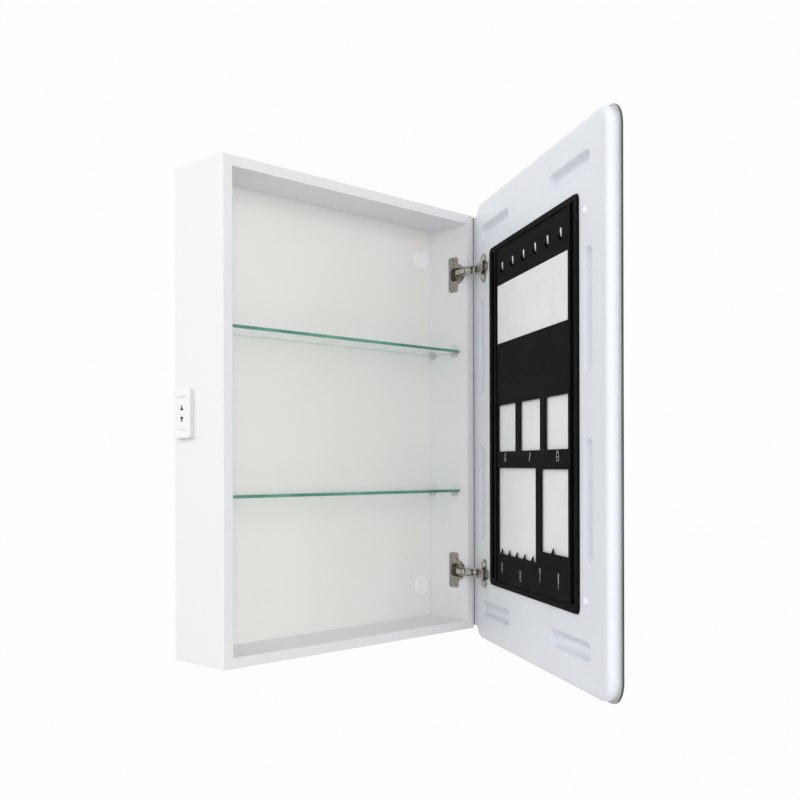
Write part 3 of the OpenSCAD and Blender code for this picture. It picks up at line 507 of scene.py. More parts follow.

# Socket in the left side
# A two-pin wall socket let into the side board: a box, a cover plate with soft edges,
# and an insert whose openings take flat or round pins. Black sheets behind them are painted shade.
socket_white = plain_finish("socket_white", paint(244, 244, 244), 0.28)
add_gloss(socket_white, 0.01, 0.24, 0.34)
add_skin(socket_white, 0.0007, 0.00001)
# Painted shade: the plate's sides are painted a greyer white than its face.
plate_side_painted_shade = plain_finish("socket_side_painted_shade", paint(214, 214, 215), 0.35)
add_gloss(plate_side_painted_shade, 0.01, 0.3, 0.42)
facing_left = move(-283.0, -29.0, 0.0) @ Matrix((
    (0.0, 0.0, -1.0, 0.0), (-1.0, 0.0, 0.0, 0.0), (0.0, 1.0, 0.0, 0.0), (0.0, 0.0, 0.0, 1.0)))
plate_sheet = bmesh.new()
plate_outside = add_rings(
    plate_sheet, (21.0, 37.5, 4.0),
    ((0.0, 0.0), (0.0, 7.3), (0.1, 8.0), (0.4, 8.55), (0.9, 8.88), (1.5, 9.0)), 8, facing_left)
plate_mouth = add_rings(
    plate_sheet, (12.3, 25.3, 2.0), ((-0.6, 9.0), (-0.2, 8.85), (0.0, 8.5), (0.0, 6.5)), 8,
    facing_left)
# The plate's sides take the painted shade.
join_rings(plate_sheet, plate_outside[:3], 1)
join_rings(plate_sheet, plate_outside[2:])
join_rings(plate_sheet, plate_mouth)
fill_between(plate_sheet, [plate_outside[-1], plate_mouth[0]])
make_piece("socket_cover", plate_sheet, [socket_white, plate_side_painted_shade], "cabinet",
           ["socket_plate"], 50.0)


def keyhole_points(side):
    """One pin opening of the socket: a flat slot with a round hole on its outer side."""
    slot_half, slot_low, slot_high = 4.3, 4.9, 7.75
    hole_radius, hole_up = 2.7, 10.4
    points = [(-slot_half, slot_low), (slot_half, slot_low), (slot_half, slot_high)]
    for i in range(17):
        turn = math.radians(-38.0 + 256.0 * i / 16.0)
        x, y = hole_radius * math.cos(turn), hole_up + hole_radius * math.sin(turn)
        if y > slot_high + 0.05:
            points.append((x, y))
    points.append((-slot_half, slot_high))
    return [(x, side * y) for x, y in points]


insert_sheet = bmesh.new()
insert_face = 8.4
insert_rings = add_rings(
    insert_sheet, (12.0, 25.0, 1.7), ((0.0, 3.0), (0.0, 7.8), (0.15, 8.2), (0.6, insert_face)), 8,
    facing_left)
join_rings(insert_sheet, insert_rings)
insert_mouths = []
for side in (1, -1):
    mouth = [
        add_ring(insert_sheet, keyhole_points(side), height, facing_left)
        for height in (insert_face, insert_face - 2.0)
    ]
    join_rings(insert_sheet, mouth)
    insert_mouths.append(mouth[0])
fill_between(insert_sheet, [insert_rings[-1]] + insert_mouths)
make_piece("socket_face", insert_sheet, [socket_white], "cabinet", ["socket_insert"],
           40.0)
# Painted shade: black sheets just behind the pin openings stand for the shade inside them.
opening_painted_shade = plain_finish("opening_painted_shade", paint(8, 8, 9), 0.6)
shader_input(opening_painted_shade, "Specular IOR Level").default_value = 0.1
add_skin(opening_painted_shade, 0.0006, 0.00002)
opening_shade_sheet = bmesh.new()
opening_shade_rings = add_rings(
    opening_shade_sheet, (8.0, 15.0, 1.0), ((0.0, 3.4), (0.0, 6.2), (0.3, 6.5)), 4, facing_left)
join_rings(opening_shade_sheet, opening_shade_rings)
fill_between(opening_shade_sheet, [opening_shade_rings[0]])
fill_between(opening_shade_sheet, [opening_shade_rings[-1]])
make_piece("socket_opening_shade", opening_shade_sheet, [opening_painted_shade], "cabinet", [])
box_grey = plain_finish("socket_box_grey", paint(222, 222, 220), 0.5)
add_skin(box_grey, 0.0008, 0.00002)
dress(["socket_box"], box_grey, 0.0003)
brass = plain_finish("contact_brass", paint(205, 170, 96), 0.3, 1.0)
add_gloss(brass, 0.003, 0.25, 0.4)
dress(["socket_contacts"], brass)

# Terminal box
# A grey box behind the back board, where the mains cable from the wall is joined.
# Four screws go through its lid into the back board, and a rubber ring guards the cable hole.
box_plastic = plain_finish("terminal_grey", paint(222, 222, 219), 0.5)
add_tone(box_plastic, 0.02, paint(219, 219, 216), paint(225, 225, 222))
add_skin(box_plastic, 0.0008, 0.00003)
dress(["terminal_box", "terminal_lid"], box_plastic, 0.0005)
rubber = plain_finish("black_rubber", paint(38, 39, 41), 0.7)
add_gloss(rubber, 0.004, 0.6, 0.8)
add_skin(rubber, 0.0006, 0.00003)
dress(["cable_grommet"], rubber, 0.0003)


def cross_screw(sheet, size, shank_length, placing):
    """A screw with a low domed head on local Z = 0 and a cross recess.

    Its size is the head's radius, the head's height and the shank's radius.
    """
    head_radius, head_height, shank_radius = size
    rim = 0.62 * head_radius
    dome = ((0.78, 0.93), (0.91, 0.72), (0.98, 0.42), (1.0, 0.15), (1.0, 0.0))
    turned(sheet, [
        (rim, head_height), *((out * head_radius, up * head_height) for out, up in dome),
        (shank_radius, 0.0), (shank_radius, -shank_length), (0.0, -shank_length),
    ], 32, placing)
    top = placing @ Vector((0.0, 0.0, head_height))
    back = placing.inverted()
    rim_ring = sorted(
        (v for v in sheet.verts if abs((v.co - top).length - rim) < 0.001),
        key=lambda v: math.atan2((back @ v.co).y, (back @ v.co).x))
    arm, half = 0.52 * head_radius, 0.13 * head_radius
    recess = []
    for share, depth in ((1.0, 0.0), (0.7, 0.62 * head_height)):
        a, b = arm * share, half * share
        outline = [
            (a, -b), (a, b), (b, b), (b, a), (-b, a), (-b, b),
            (-a, b), (-a, -b), (-b, -b), (-b, -a), (b, -a), (b, -b),
        ]
        recess.append(add_ring(sheet, outline, head_height - depth, placing))
    join_rings(sheet, recess)
    fill_between(sheet, [recess[1]])
    fill_between(sheet, [rim_ring, recess[0]])


zinc = plain_finish("zinc_screw", paint(186, 189, 192), 0.32, 1.0)
add_gloss(zinc, 0.002, 0.24, 0.42)
add_skin(zinc, 0.0004, 0.00001)
flat_screw = (3.3, 1.2, 1.75)
lid_face_y = -2.0
terminal_sheet = bmesh.new()
for screw_x in (-39.0, 39.0):
    for screw_z in (128.0, 172.0):
        facing_wall = move(screw_x, lid_face_y, screw_z) @ roll(-90.0, "X")
        cross_screw(terminal_sheet, flat_screw, 24.9, facing_wall)
make_piece("lid_screws", terminal_sheet, [zinc], "cabinet", ["terminal_screws"],
           40.0)

# Concealed hinges
# Pressed and nickel-plated steel: a cup with its flange in the side board, a link on a pin,
# and an arm with slots that two screws clamp on a wing plate on the door.


def add_painted_crevice_shade(finish, reach, dark):
    """Painted shade: the colour goes over to dark where other metal stands close, within reach
    metres, as shade falls in crevices and between parts.
    """
    tree = finish.node_tree
    base = shader_input(finish, "Base Color")
    near = tree.nodes.new("ShaderNodeAmbientOcclusion")
    near.samples = 8
    near.only_local = False
    near.inputs["Distance"].default_value = reach
    spread = tree.nodes.new("ShaderNodeMapRange")
    spread.inputs["From Min"].default_value = 0.3
    spread.inputs["From Max"].default_value = 0.85
    tree.links.new(near.outputs["AO"], spread.inputs["Value"])
    blend = tree.nodes.new("ShaderNodeMix")
    blend.data_type = "RGBA"
    blend.inputs[6].default_value = (*dark, 1.0)
    tree.links.new(spread.outputs["Result"], blend.inputs[0])
    tree.links.new(base.links[0].from_socket, blend.inputs[7])
    tree.links.new(blend.outputs[2], base)


# The three nickel finishes carry painted shade where their parts stand close.
nickel = plain_finish("nickel_plate", paint(180, 175, 166), 0.2, 1.0)
add_tone(nickel, 0.005, paint(158, 153, 144), paint(214, 209, 201))
add_painted_crevice_shade(nickel, 0.005, paint(70, 67, 62))
add_gloss(nickel, 0.003, 0.10, 0.34)
add_skin(nickel, 0.0015, 0.00002)
dress(["upper_hinge_arm", "lower_hinge_arm"], nickel, 0.00025)
dress(["upper_wing_plate", "lower_wing_plate"], nickel, 0.0004)
link_nickel = plain_finish("link_nickel", paint(172, 168, 160), 0.2, 1.0)
add_tone(link_nickel, 0.004, paint(146, 142, 134), paint(214, 210, 202))
add_painted_crevice_shade(link_nickel, 0.005, paint(60, 57, 53))
add_gloss(link_nickel, 0.003, 0.12, 0.32)
dress(["upper_hinge_link", "lower_hinge_link"], link_nickel, 0.0003)
pin_steel = plain_finish("pin_steel", paint(150, 148, 144), 0.3, 1.0)
add_gloss(pin_steel, 0.002, 0.22, 0.38)
dress(["cup_pins", "upper_link_pin", "lower_link_pin"], pin_steel, 0.0003)
cup_nickel = plain_finish("cup_nickel", paint(156, 152, 145), 0.26, 1.0)
add_tone(cup_nickel, 0.006, paint(144, 140, 132), paint(178, 174, 166))
add_painted_crevice_shade(cup_nickel, 0.008, paint(58, 55, 51))
add_gloss(cup_nickel, 0.004, 0.2, 0.4)
add_skin(cup_nickel, 0.002, 0.00002)
dress(["upper_hinge_cup", "lower_hinge_cup"], cup_nickel, 0.0003)
hinge_level = 274.0
domed_screw = (3.3, 1.6, 1.75)
flange_x, cup_y = 265.8, -90.5
cup_sheet = bmesh.new()
for side in (-1, 1):
    for row in (-24.0, 24.0):
        facing_inwards = move(flange_x, cup_y, side * hinge_level + row) @ roll(-90.0, "Y")
        cross_screw(cup_sheet, domed_screw, 12.9, facing_inwards)
make_piece("cup_screws_with_cross", cup_sheet, [nickel], "cabinet", ["cup_screws"],
           40.0)

# Door
# The door is drawn flat in its own frame and then turned to where it stands open: local X runs
# towards the hinges, Y up, and Z from the shell's rear face into the door towards the mirror.
# When it is closed, the middle of that face stands at door_x, door_y and door_z, in mm.
hinge_joint = next(joint for joint in frame["joints"] if joint["name"] == "door_hinge")
pivot = Matrix.Translation(hinge_joint["pos_m"])
opened = pivot @ roll(-hinge_joint["range_deg"][0], "Z") @ pivot.inverted()
door_x, door_y, door_z = -14.5, -127.5, 1.5
closed_door = move(door_x / 1000.0, door_y / 1000.0, door_z / 1000.0)
door_place = opened @ closed_door @ roll(90.0, "X")
flat = Matrix.Identity(4)

# Mirror
# A 600 x 800 mm silvered mirror of 4 mm glass with rounded corners and polished edges.
# A frosted band lets the light guide behind it shine out, and its rear is painted grey.
silver = plain_finish("silvering", paint(206, 212, 214), 0.02, 1.0)
add_gloss(silver, 0.3, 0.01, 0.03)
frost = plain_finish("frosted_band", paint(232, 238, 240), 0.5)
add_skin(frost, 0.0006, 0.00004)
shader_input(frost, "Coat Weight").default_value = 0.5
front_edge = plain_finish("mirror_front_edge", paint(66, 72, 70), 0.2)
add_tone(front_edge, 0.02, paint(56, 62, 60), paint(80, 87, 84), (1.0, 0.1, 1.0))
shader_input(front_edge, "Specular IOR Level").default_value = 0.25
mirror_paint = plain_finish("mirror_back_paint", paint(202, 205, 207), 0.55)
add_skin(mirror_paint, 0.001, 0.00003)
rear_edge = plain_finish("mirror_rear_edge", paint(104, 109, 107), 0.2)
add_tone(rear_edge, 0.02, paint(96, 101, 99), paint(112, 117, 115), (1.0, 0.1, 1.0))
mirror_sheet = bmesh.new()
mirror_rings = add_rings(mirror_sheet, (300.0, 400.0, 35.0), (
    (0.5, 17.0), (0.0, 17.5), (0.0, 18.5), (0.0, 20.4), (0.6, 21.0), (20.0, 21.0), (34.0, 21.0),
), 24, flat)
# The rear half of the edge, its front half, the clear margin and the frosted band.
for first, last, mark in ((0, 2, 4), (2, 4, 2), (4, 5, 0), (5, 6, 1)):
    join_rings(mirror_sheet, mirror_rings[first:last + 1], mark)
fill_between(mirror_sheet, [mirror_rings[-1]], 0)
fill_between(mirror_sheet, [mirror_rings[0]], 3)
make_piece("mirror", mirror_sheet, [silver, frost, front_edge, mirror_paint, rear_edge],
           "door", ["mirror_glass"], 25.0, door_place)

# Inside of the door
# Behind the mirror sit an aluminium frame of four bars, the LED strips along its outside,
# the opal light guide, the driver and the touch sensor, and the blocks that take the hinge screws.
aluminium = plain_finish("frame_aluminium", paint(196, 199, 202), 0.35, 1.0)
add_gloss(aluminium, 0.002, 0.28, 0.45, (0.1, 0.1, 0.1))
add_skin(aluminium, 0.002, 0.00002, (0.05, 0.05, 1.0))
dress(["mirror_frame"], aluminium, 0.0004)
opal = plain_finish("opal_light_guide", paint(236, 242, 244), 0.3)
add_gloss(opal, 0.01, 0.25, 0.4)
dress(["light_guide"], opal)
led_tape = plain_finish("led_tape", paint(250, 240, 200), 0.5)
add_tone(led_tape, 0.004, paint(250, 247, 235), paint(250, 226, 150))
dress(["led_strips"], led_tape)
driver_white = plain_finish("driver_white", paint(236, 236, 233), 0.5)
add_skin(driver_white, 0.001, 0.00004)
dress(["led_driver"], driver_white, 0.0006)
board_green = plain_finish("sensor_board", paint(46, 112, 74), 0.4)
add_tone(board_green, 0.002, paint(40, 102, 66), paint(62, 128, 88))
dress(["touch_sensor"], board_green, 0.0003)
block_grey = plain_finish("hinge_block_grey", paint(205, 207, 208), 0.5)
add_skin(block_grey, 0.001, 0.00003)
dress(["hinge_blocks"], block_grey, 0.0004)

# Door shell
# One deep-drawn sheet of bluish white plastic covers the rear of the mirror. Its edge is soft,
# eight soft pockets stiffen it, and the tray drops into the large recess in its middle.
shell_white = plain_finish("shell_plastic", paint(233, 236, 242), 0.34)
add_tone(shell_white, 0.15, paint(231, 234, 240), paint(235, 238, 244))
add_gloss(shell_white, 0.02, 0.30, 0.40)
add_skin(shell_white, 0.0016, 0.00002)
# Painted shade: the pocket walls are painted a greyer white than the rest of the shell.
pocket_painted_shade = plain_finish("pocket_wall_painted_shade", paint(222, 226, 234), 0.36)
add_tone(pocket_painted_shade, 0.05, paint(220, 224, 232), paint(224, 228, 236))
add_skin(pocket_painted_shade, 0.0016, 0.00002)
edge_w, edge_h = 9.0, 7.0
edge_turns = [math.radians(degrees) for degrees in range(0, 91, 15)]
shell_sheet = bmesh.new()
shell_outside = add_rings(shell_sheet, (296.0, 396.0, 31.0), [
    (12.0, 0.0),
    *((edge_w - edge_w * math.sin(turn), edge_h - edge_h * math.cos(turn)) for turn in edge_turns),
    (0.0, 16.9),
], 16, flat)
join_rings(shell_sheet, shell_outside)
tall_pockets = [(x, y, 22.0, 165.0) for x in (253.0, -232.0) for y in (133.0, -130.0)]
wide_pockets = [(x, y, 146.0, 23.0) for x in (180.0, -162.0) for y in (337.0, -337.0)]
pocket_fall = (
    (4.4, 0.0), (3.4, 0.0), (2.5, 0.2), (1.6, 0.8), (0.7, 1.9), (-0.5, 3.5), (-1.7, 5.1),
    (-2.8, 6.4), (-4.0, 7.15), (-5.2, 7.4), (-7.0, 7.4),
)
floor_drop = 0.4
shell_mouths = []
for pocket_x, pocket_y, pocket_w, pocket_h in tall_pockets + wide_pockets:
    rings = [
        add_ring(shell_sheet, ring_points((pocket_w / 2.0, pocket_h / 2.0, 8.0), -outset, 8),
                 depth, move(pocket_x, pocket_y - floor_drop * depth, 0.0))
        for outset, depth in pocket_fall
    ]
    join_rings(shell_sheet, rings[:3])
    # The walls below the rounded mouth take the painted shade.
    join_rings(shell_sheet, rings[2:], 1)
    fill_between(shell_sheet, [rings[-1]])
    shell_mouths.append(rings[0])
tray_up = 4.0
seat_rings = add_rings(shell_sheet, (200.3, 294.3, 10.3), (
    (-2.0, 0.0), (-0.7, 0.0), (-0.2, 0.2), (0.0, 0.7), (0.0, 4.6), (0.8, 5.0), (2.0, 5.0),
), 12, move(0.0, tray_up, 0.0))
join_rings(shell_sheet, seat_rings)
fill_between(shell_sheet, [seat_rings[-1]])
fill_between(shell_sheet, [shell_outside[0], seat_rings[0]] + shell_mouths)
shell = make_piece("shell", shell_sheet, [shell_white, pocket_painted_shade], "door", ["door_shell"],
                   60.0, door_place)
drawn_sheet = shell.modifiers.new("sheet_thickness", "SOLIDIFY")
drawn_sheet.thickness = 0.0012
drawn_sheet.offset = -1.0

# Shell screws and caps
# Two screws on the free side hold the shell to the frame bar, under small domed white caps.
spot_profile = [
    (0.0, 3.0), (1.5, 2.96), (3.0, 2.75), (4.2, 2.3), (5.0, 1.6), (5.4, 0.8), (5.5, 0.0),
    (3.7, 0.0), (3.7, 1.9), (0.0, 1.9),
]
spot_sheet = bmesh.new()
screw_sheet = bmesh.new()
for spot_y in (-268.0, 268.0):
    spot = move(-221.0, spot_y, 0.0) @ roll(180.0, "X")
    turned(spot_sheet, spot_profile, 40, spot)
    cross_screw(screw_sheet, domed_screw, 16.5, spot)
make_piece("shell_screw_caps", spot_sheet, [cap_white], "door", ["shell_caps"],
           50.0, door_place)
make_piece("shell_screws_with_cross", screw_sheet, [nickel], "door", ["shell_screws"],
           40.0, door_place)

# Hinge screws on the door
# Two screws hold each wing plate, each in a pressed boss, and two adjust each arm.
# All have a cross recess.
boss_profile = [
    (3.8, 0.0), (3.8, 1.2), (4.3, 2.7), (5.2, 3.4), (6.1, 3.3), (6.9, 2.4), (7.3, 1.0),
    (7.4, 0.0), (3.8, 0.0),
]
wing_x, wing_face = 238.0, -2.0
arm_face = -11.0
wing_sheet = bmesh.new()
arm_sheet = bmesh.new()
boss_sheet = bmesh.new()
for side in (-1, 1):
    hinge_y = side * hinge_level - door_z
    for row in (-16.0, 16.0):
        on_wing = move(wing_x, hinge_y + row, wing_face) @ roll(180.0, "X")
        turned(boss_sheet, boss_profile, 32, on_wing)
        cross_screw(wing_sheet, domed_screw, 18.5, on_wing)
    for arm_x in (234.0, 220.5):
        on_arm = move(arm_x, hinge_y, arm_face) @ roll(180.0, "X")
        cross_screw(arm_sheet, domed_screw, 6.0, on_arm)
bmesh.ops.remove_doubles(boss_sheet, verts=boss_sheet.verts, dist=0.0001)
make_piece("wing_bosses", boss_sheet, [nickel], "door", [], 40.0, door_place)
make_piece("wing_screws_with_cross", wing_sheet, [nickel], "door", ["wing_screws"],
           40.0, door_place)
make_piece("arm_screws_with_cross", arm_sheet, [nickel], "door", ["arm_screws"],
           40.0, door_place)

# Necks of the hinge arms
# Between its two cheeks each arm has a bent web, from its body up to the link, with dark patches of
# painted shade.
# It lies on the side of the cheeks that faces the shell, so the link swings free above it.
# Painted shade: the dark patches stand for the shade where the web has its slots.
slot_painted_shade = plain_finish("slot_painted_shade", paint(52, 50, 47), 0.5, 0.6)
add_gloss(slot_painted_shade, 0.002, 0.4, 0.6)
neck_x, neck_out = 281.5, 2.5
web_path = [
    (-33.0, 1.2), (-29.0, 1.3), (-26.6, 2.1), (-22.6, 4.6), (-19.2, 6.9), (-15.6, 10.0),
    (-12.0, 13.4), (-8.4, 16.9), (-5.4, 19.2),
]
web_sheet = bmesh.new()


def web_plate(side, start, end, low, high, y0, y1, mark):
    """A small plate over one stretch of the neck's line, from low to high above that line."""
    along = Vector((end[0] - start[0], end[1] - start[1])).normalized()
    up = Vector((-along.y, along.x))
    outline = [
        Vector(start) + up * low, Vector(end) + up * low,
        Vector(end) + up * high, Vector(start) + up * high,
    ]
    rings = [
        [
            web_sheet.verts.new((neck_x + p.x, side * hinge_level + y - door_z, -(p.y + neck_out)))
            for p in outline
        ]
        for y in (y0, y1)
    ]
    join_rings(web_sheet, rings, mark)
    for ring in rings:
        web_sheet.faces.new(ring).material_index = mark


for side in (-1, 1):
    for start, end in zip(web_path, web_path[1:]):
        web_plate(side, start, end, 0.0, 1.1, -6.6, 6.6, 0)
    # The dark patches are painted shade.
    for start, end in ((web_path[3], web_path[4]), (web_path[5], web_path[6])):
        for y0, y1 in ((-4.8, -0.7), (0.7, 4.8)):
            web_plate(side, start, end, 1.0, 1.25, y0, y1, 1)
make_piece("arm_webs", web_sheet, [nickel, slot_painted_shade], "door", [], 40.0,
           door_place)

# Lip and dark bead on the door's hinge edge
# A narrow lip of the shell's plastic runs up its hinge side and carries a soft bead, which fills
# the gap to the body's front corner; its dark grey is painted shade. The bead lies close round the
# door's turning line.
# Painted shade: the bead's dark grey stands for the shade in the gap.
gap_painted_shade = plain_finish("gap_painted_shade_grey", paint(92, 93, 97), 0.6)
add_gloss(gap_painted_shade, 0.004, 0.5, 0.7)
hinge_edge_half = 376.0
lip_outline = [
    (286.0, 0.0), (297.9, 0.05), (298.5, 0.2), (298.5, 1.0), (297.6, 2.6), (296.4, 7.0),
    (295.0, 7.0), (288.0, 1.4),
]
lip_sheet = bmesh.new()
lip_rings = [
    [lip_sheet.verts.new((x, y, z)) for x, z in lip_outline] for y in (-hinge_edge_half, hinge_edge_half)
]
join_rings(lip_sheet, lip_rings)
for ring in lip_rings:
    lip_sheet.faces.new(ring)
make_piece("shell_lip", lip_sheet, [shell_white], "door", [], 40.0, door_place)
bead_profile = [(0.0, 0.0), (0.8, 0.0), (1.1, 0.4), (1.1, 751.6), (0.8, 752.0), (0.0, 752.0)]
bead_sheet = bmesh.new()
turned(bead_sheet, bead_profile, 20, move(298.8, hinge_edge_half, -1.3) @ roll(90.0, "X"))
make_piece("gap_shade_bead", bead_sheet, [gap_painted_shade], "door", [], 50.0, door_place)

# Organizer tray
# A moulded black tray with a raised rim, a groove down each side, windows onto the white backing,
# six small hooks over slots and a comb under the lower windows. Its edges are softly rounded.
dull_shine = 0.02
tray_black = plain_finish("tray_black", paint(17, 17, 18), 0.5)
shader_input(tray_black, "Specular IOR Level").default_value = dull_shine
add_tone(tray_black, 0.06, paint(14, 14, 15), paint(20, 20, 21))
add_gloss(tray_black, 0.01, 0.42, 0.55)
add_skin(tray_black, 0.0009, 0.00003)
# Painted shade: the hooks are painted a deeper black than the tray they are moulded with.
hook_painted_shade = plain_finish("hook_painted_shade", paint(6, 6, 7), 0.6)
shader_input(hook_painted_shade, "Specular IOR Level").default_value = dull_shine
add_gloss(hook_painted_shade, 0.004, 0.5, 0.7)


def box_outline(x0, x1, y0, y1):
    return [(x0, y0), (x1, y0), (x1, y1), (x0, y1)]


def moulded(sheet, outlines, low, high, radius):
    """Adds a flat moulding between two depths, with soft edges. The first outline is its rim."""
    curve = bpy.data.curves.new("moulding", "CURVE")
    curve.dimensions = "2D"
    curve.fill_mode = "BOTH"
    curve.extrude = (high - low) / 2.0 - radius
    curve.bevel_depth = radius
    curve.bevel_resolution = 2
    curve.offset = -radius
    for outline in outlines:
        line = curve.splines.new("POLY")
        line.points.add(len(outline) - 1)
        for point, (x, y) in zip(line.points, outline):
            point.co = (x, y, 0.0, 1.0)
        line.use_cyclic_u = True
    form = bpy.data.objects.new("moulding", curve)
    scene.collection.objects.link(form)
    bpy.context.view_layer.update()
    finished = form.evaluated_get(bpy.context.evaluated_depsgraph_get())
    mesh = bpy.data.meshes.new_from_object(finished)
    bpy.data.objects.remove(form)
    mesh.transform(move(0.0, tray_up, (low + high) / 2.0))
    sheet.from_mesh(mesh)
    bpy.data.meshes.remove(mesh)


tray_sheet = bmesh.new()
tray_rim = [
    ring_points((200.0, 294.0, 10.0), 0.0, 10), box_outline(-165.0, 165.0, -285.0, 285.0),
    box_outline(-187.0, -173.0, -281.0, 285.0), box_outline(173.0, 187.0, -281.0, 285.0),
]
moulded(tray_sheet, tray_rim, -3.0, 3.5, 0.6)
tray_windows = [
    box_outline(-160.5, 160.5, 122.5, 222.5), box_outline(-160.5, -68.5, -62.0, 17.0),
    box_outline(-46.0, 46.0, -62.0, 17.0), box_outline(68.5, 160.5, -62.0, 17.0),
]
tooth = 8.5
left_window = [(-26.5, -90.0), (-26.5, -236.0)]
for i in range(4, -1, -1):
    foot = 160.5 - 37.4 * (i + 0.4)
    left_window += [(foot - tooth, -236.0), (foot - tooth, -236.0 + tooth), (foot, -236.0)]
left_window += [(160.5, -236.0), (160.5, -90.0)]
foot = 111.5 * 0.62 - 160.5
right_window = [
    (-160.5, -91.5), (-160.5, -217.5), (foot - tooth, -217.5), (foot - tooth, -217.5 + tooth),
    (foot, -217.5), (-49.0, -217.5), (-49.0, -91.5),
]
hook_places = [53.5 * (i - 2.5) for i in range(6)]
hook_up = 253.0
drop_outline = [
    (-3.4, -6.6), (-2.2, -7.2), (-0.8, -6.4), (1.0, -2.6), (2.6, 1.6), (3.2, 4.2), (2.6, 6.2),
    (0.6, 7.2), (-2.2, 6.4), (-3.4, 4.2),
]
hook_slots = [[(hook_x + x, hook_up + y) for x, y in drop_outline] for hook_x in hook_places]
tray_floor = [box_outline(-166.0, 166.0, -286.0, 286.0)]
moulded(tray_sheet, tray_floor + tray_windows + [left_window, right_window] + hook_slots,
        -1.0, 1.0, 0.35)
for groove_x in (-180.0, 180.0):
    groove_floor = box_outline(groove_x - 7.5, groove_x + 7.5, -281.5, 285.5)
    moulded(tray_sheet, [groove_floor], 2.0, 3.4, 0.2)
hook_path = [
    (-9.6, 0.4), (-9.4, -1.4), (-8.8, -2.8), (-7.6, -3.9), (-6.0, -4.5), (-4.2, -4.8), (-2.6, -4.9),
]
hook_half = [2.8, 2.7, 2.5, 2.1, 1.7, 1.2, 0.6]
for hook_x in hook_places:
    hook_rings = []
    for step, ((up, depth), half) in enumerate(zip(hook_path, hook_half)):
        run, rise = heading(hook_path, step)
        lean = math.atan2(rise, run)
        hook_ring = []
        for i in range(10):
            turn = math.radians(36.0 * i)
            bulge = 0.75 * half * math.sin(turn)
            hook_ring.append(tray_sheet.verts.new((
                hook_x + half * math.cos(turn), hook_up + tray_up + up - bulge * math.sin(lean),
                depth + bulge * math.cos(lean))))
        hook_rings.append(hook_ring)
    join_rings(tray_sheet, hook_rings, 1)
    fill_between(tray_sheet, [hook_rings[0]], 1)
    fill_between(tray_sheet, [hook_rings[-1]], 1)
make_piece("tray", tray_sheet, [tray_black, hook_painted_shade], "door", ["organizer_tray"],
           40.0, door_place)

# Printed signs on the tray
# Small plain pictures in pale grey ink say what each window is for: scissors, pencil, jar,
# nail file, clip, brush and comb.
print_grey = plain_finish("pale_grey_print", paint(196, 197, 198), 0.5)
add_gloss(print_grey, 0.003, 0.45, 0.6)
circle = [(math.cos(math.radians(30.0 * i)), math.sin(math.radians(30.0 * i))) for i in range(13)]
# Each sign is its middle, its height and its strokes, drawn in a square one unit high.
signs = [
    (120.0, -72.0, 13.0, [
        [(-0.28, 0.5), (0.16, -0.18)], [(0.28, 0.5), (-0.16, -0.18)],
        [(0.24 + 0.13 * x, -0.34 + 0.16 * y) for x, y in circle],
        [(-0.24 + 0.13 * x, -0.34 + 0.16 * y) for x, y in circle],
    ]),
    (0.0, -72.0, 13.0, [
        [(0.2, 0.5), (-0.14, -0.36)], [(0.32, 0.44), (-0.04, -0.4)], [(0.2, 0.5), (0.32, 0.44)],
        [(-0.14, -0.36), (-0.16, -0.5), (-0.04, -0.4)],
    ]),
    (-120.0, -72.0, 14.0, [
        [(-0.22, 0.5), (0.22, 0.5)], [(-0.22, 0.36), (0.22, 0.36)], [(-0.22, 0.5), (-0.22, 0.36)],
        [(0.22, 0.5), (0.22, 0.36)],
        [(-0.22, 0.36), (-0.3, 0.1), (-0.3, -0.5), (0.3, -0.5), (0.3, 0.1), (0.22, 0.36)],
        [(-0.3, -0.1), (0.3, -0.1)],
    ]),
    (138.0, -259.0, 17.0, [
        [(0.0, 0.5), (-0.1, 0.3), (-0.08, -0.1), (0.08, -0.1), (0.1, 0.3), (0.0, 0.5)],
        [(-0.06, -0.1), (-0.06, -0.5), (0.06, -0.5), (0.06, -0.1)],
    ]),
    (45.0, -265.0, 16.0, [
        [(-0.14, 0.4), (0.14, 0.4), (0.12, -0.5), (-0.12, -0.5), (-0.14, 0.4)],
        [(-0.14, 0.5), (0.14, 0.5)], [(-0.13, 0.0), (0.13, 0.0)],
    ]),
    (-45.0, -254.0, 21.0, [
        [(0.0, 0.14), (0.0, -0.5)], [(0.14 * x, 0.32 + 0.18 * y) for x, y in circle],
    ]),
    (-122.0, -256.0, 23.0, [
        [(-0.07, 0.5), (-0.07, -0.1), (0.07, -0.1), (0.07, 0.5), (-0.07, 0.5)],
        [(-0.07, 0.38), (0.07, 0.38)], [(-0.07, 0.26), (0.07, 0.26)],
        [(-0.07, 0.14), (0.07, 0.14)], [(-0.07, 0.02), (0.07, 0.02)], [(0.0, -0.1), (0.0, -0.5)],
    ]),
]
ink_half, ink_face, ink_foot = 0.45, -1.05, -0.98
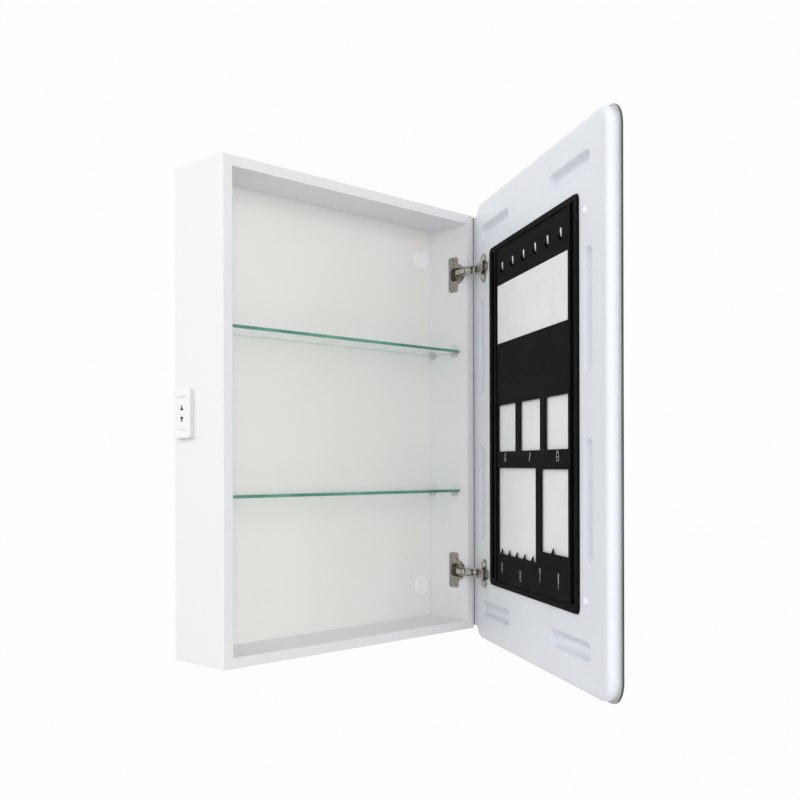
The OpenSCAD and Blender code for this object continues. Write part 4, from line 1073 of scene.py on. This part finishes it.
sign_sheet = bmesh.new()
for sign_x, sign_y, sign_h, strokes in signs:
    for stroke in strokes:
        for (x0, y0), (x1, y1) in zip(stroke, stroke[1:]):
            start = Vector((sign_x - x0 * sign_h, sign_y + tray_up + y0 * sign_h, 0.0))
            end = Vector((sign_x - x1 * sign_h, sign_y + tray_up + y1 * sign_h, 0.0))
            along = (end - start).normalized() * ink_half
            across = Vector((-along.y, along.x, 0.0))
            outline = [
                start - along - across, end + along - across,
                end + along + across, start - along + across,
            ]
            upper = [sign_sheet.verts.new((p.x, p.y, ink_face)) for p in outline]
            lower = [sign_sheet.verts.new((p.x, p.y, ink_foot)) for p in outline]
            join_rings(sign_sheet, [lower, upper])
            sign_sheet.faces.new(upper)
            sign_sheet.faces.new(lower[::-1])
make_piece("printed_signs", sign_sheet, [print_grey], "door", [], 30.0, door_place)

# Backing sheet and memo board
# A white sheet closes the tray's rear and shows through its windows, and in the hook slots.
# A light grey board for notes fills the top window.
backing_white = plain_finish("backing_white", paint(240, 241, 242), 0.5)
add_tone(backing_white, 0.05, paint(238, 239, 240), paint(242, 243, 244))
add_skin(backing_white, 0.001, 0.00002)
dress(["tray_backing"], backing_white, 0.0003)
pad_outline = [(0.96 * x, 0.98 * y) for x, y in drop_outline]
pad_sheet = bmesh.new()
for hook_x in hook_places:
    behind_hook = move(hook_x, hook_up + tray_up, 0.0)
    pad_rings = [
        add_ring(pad_sheet, pad_outline, height, behind_hook) for height in (0.98, -0.72)
    ]
    join_rings(pad_sheet, pad_rings)
    fill_between(pad_sheet, [pad_rings[0]])
    fill_between(pad_sheet, [pad_rings[1]])
make_piece("backing_pads", pad_sheet, [backing_white], "door", [], 30.0, door_place)
memo_grey = plain_finish("memo_board_grey", paint(238, 239, 240), 0.45)
add_tone(memo_grey, 0.03, paint(235, 236, 237), paint(241, 242, 243))
add_gloss(memo_grey, 0.01, 0.38, 0.5)
add_skin(memo_grey, 0.0008, 0.00002)
dress(["memo_board"], memo_grey, 0.0004)
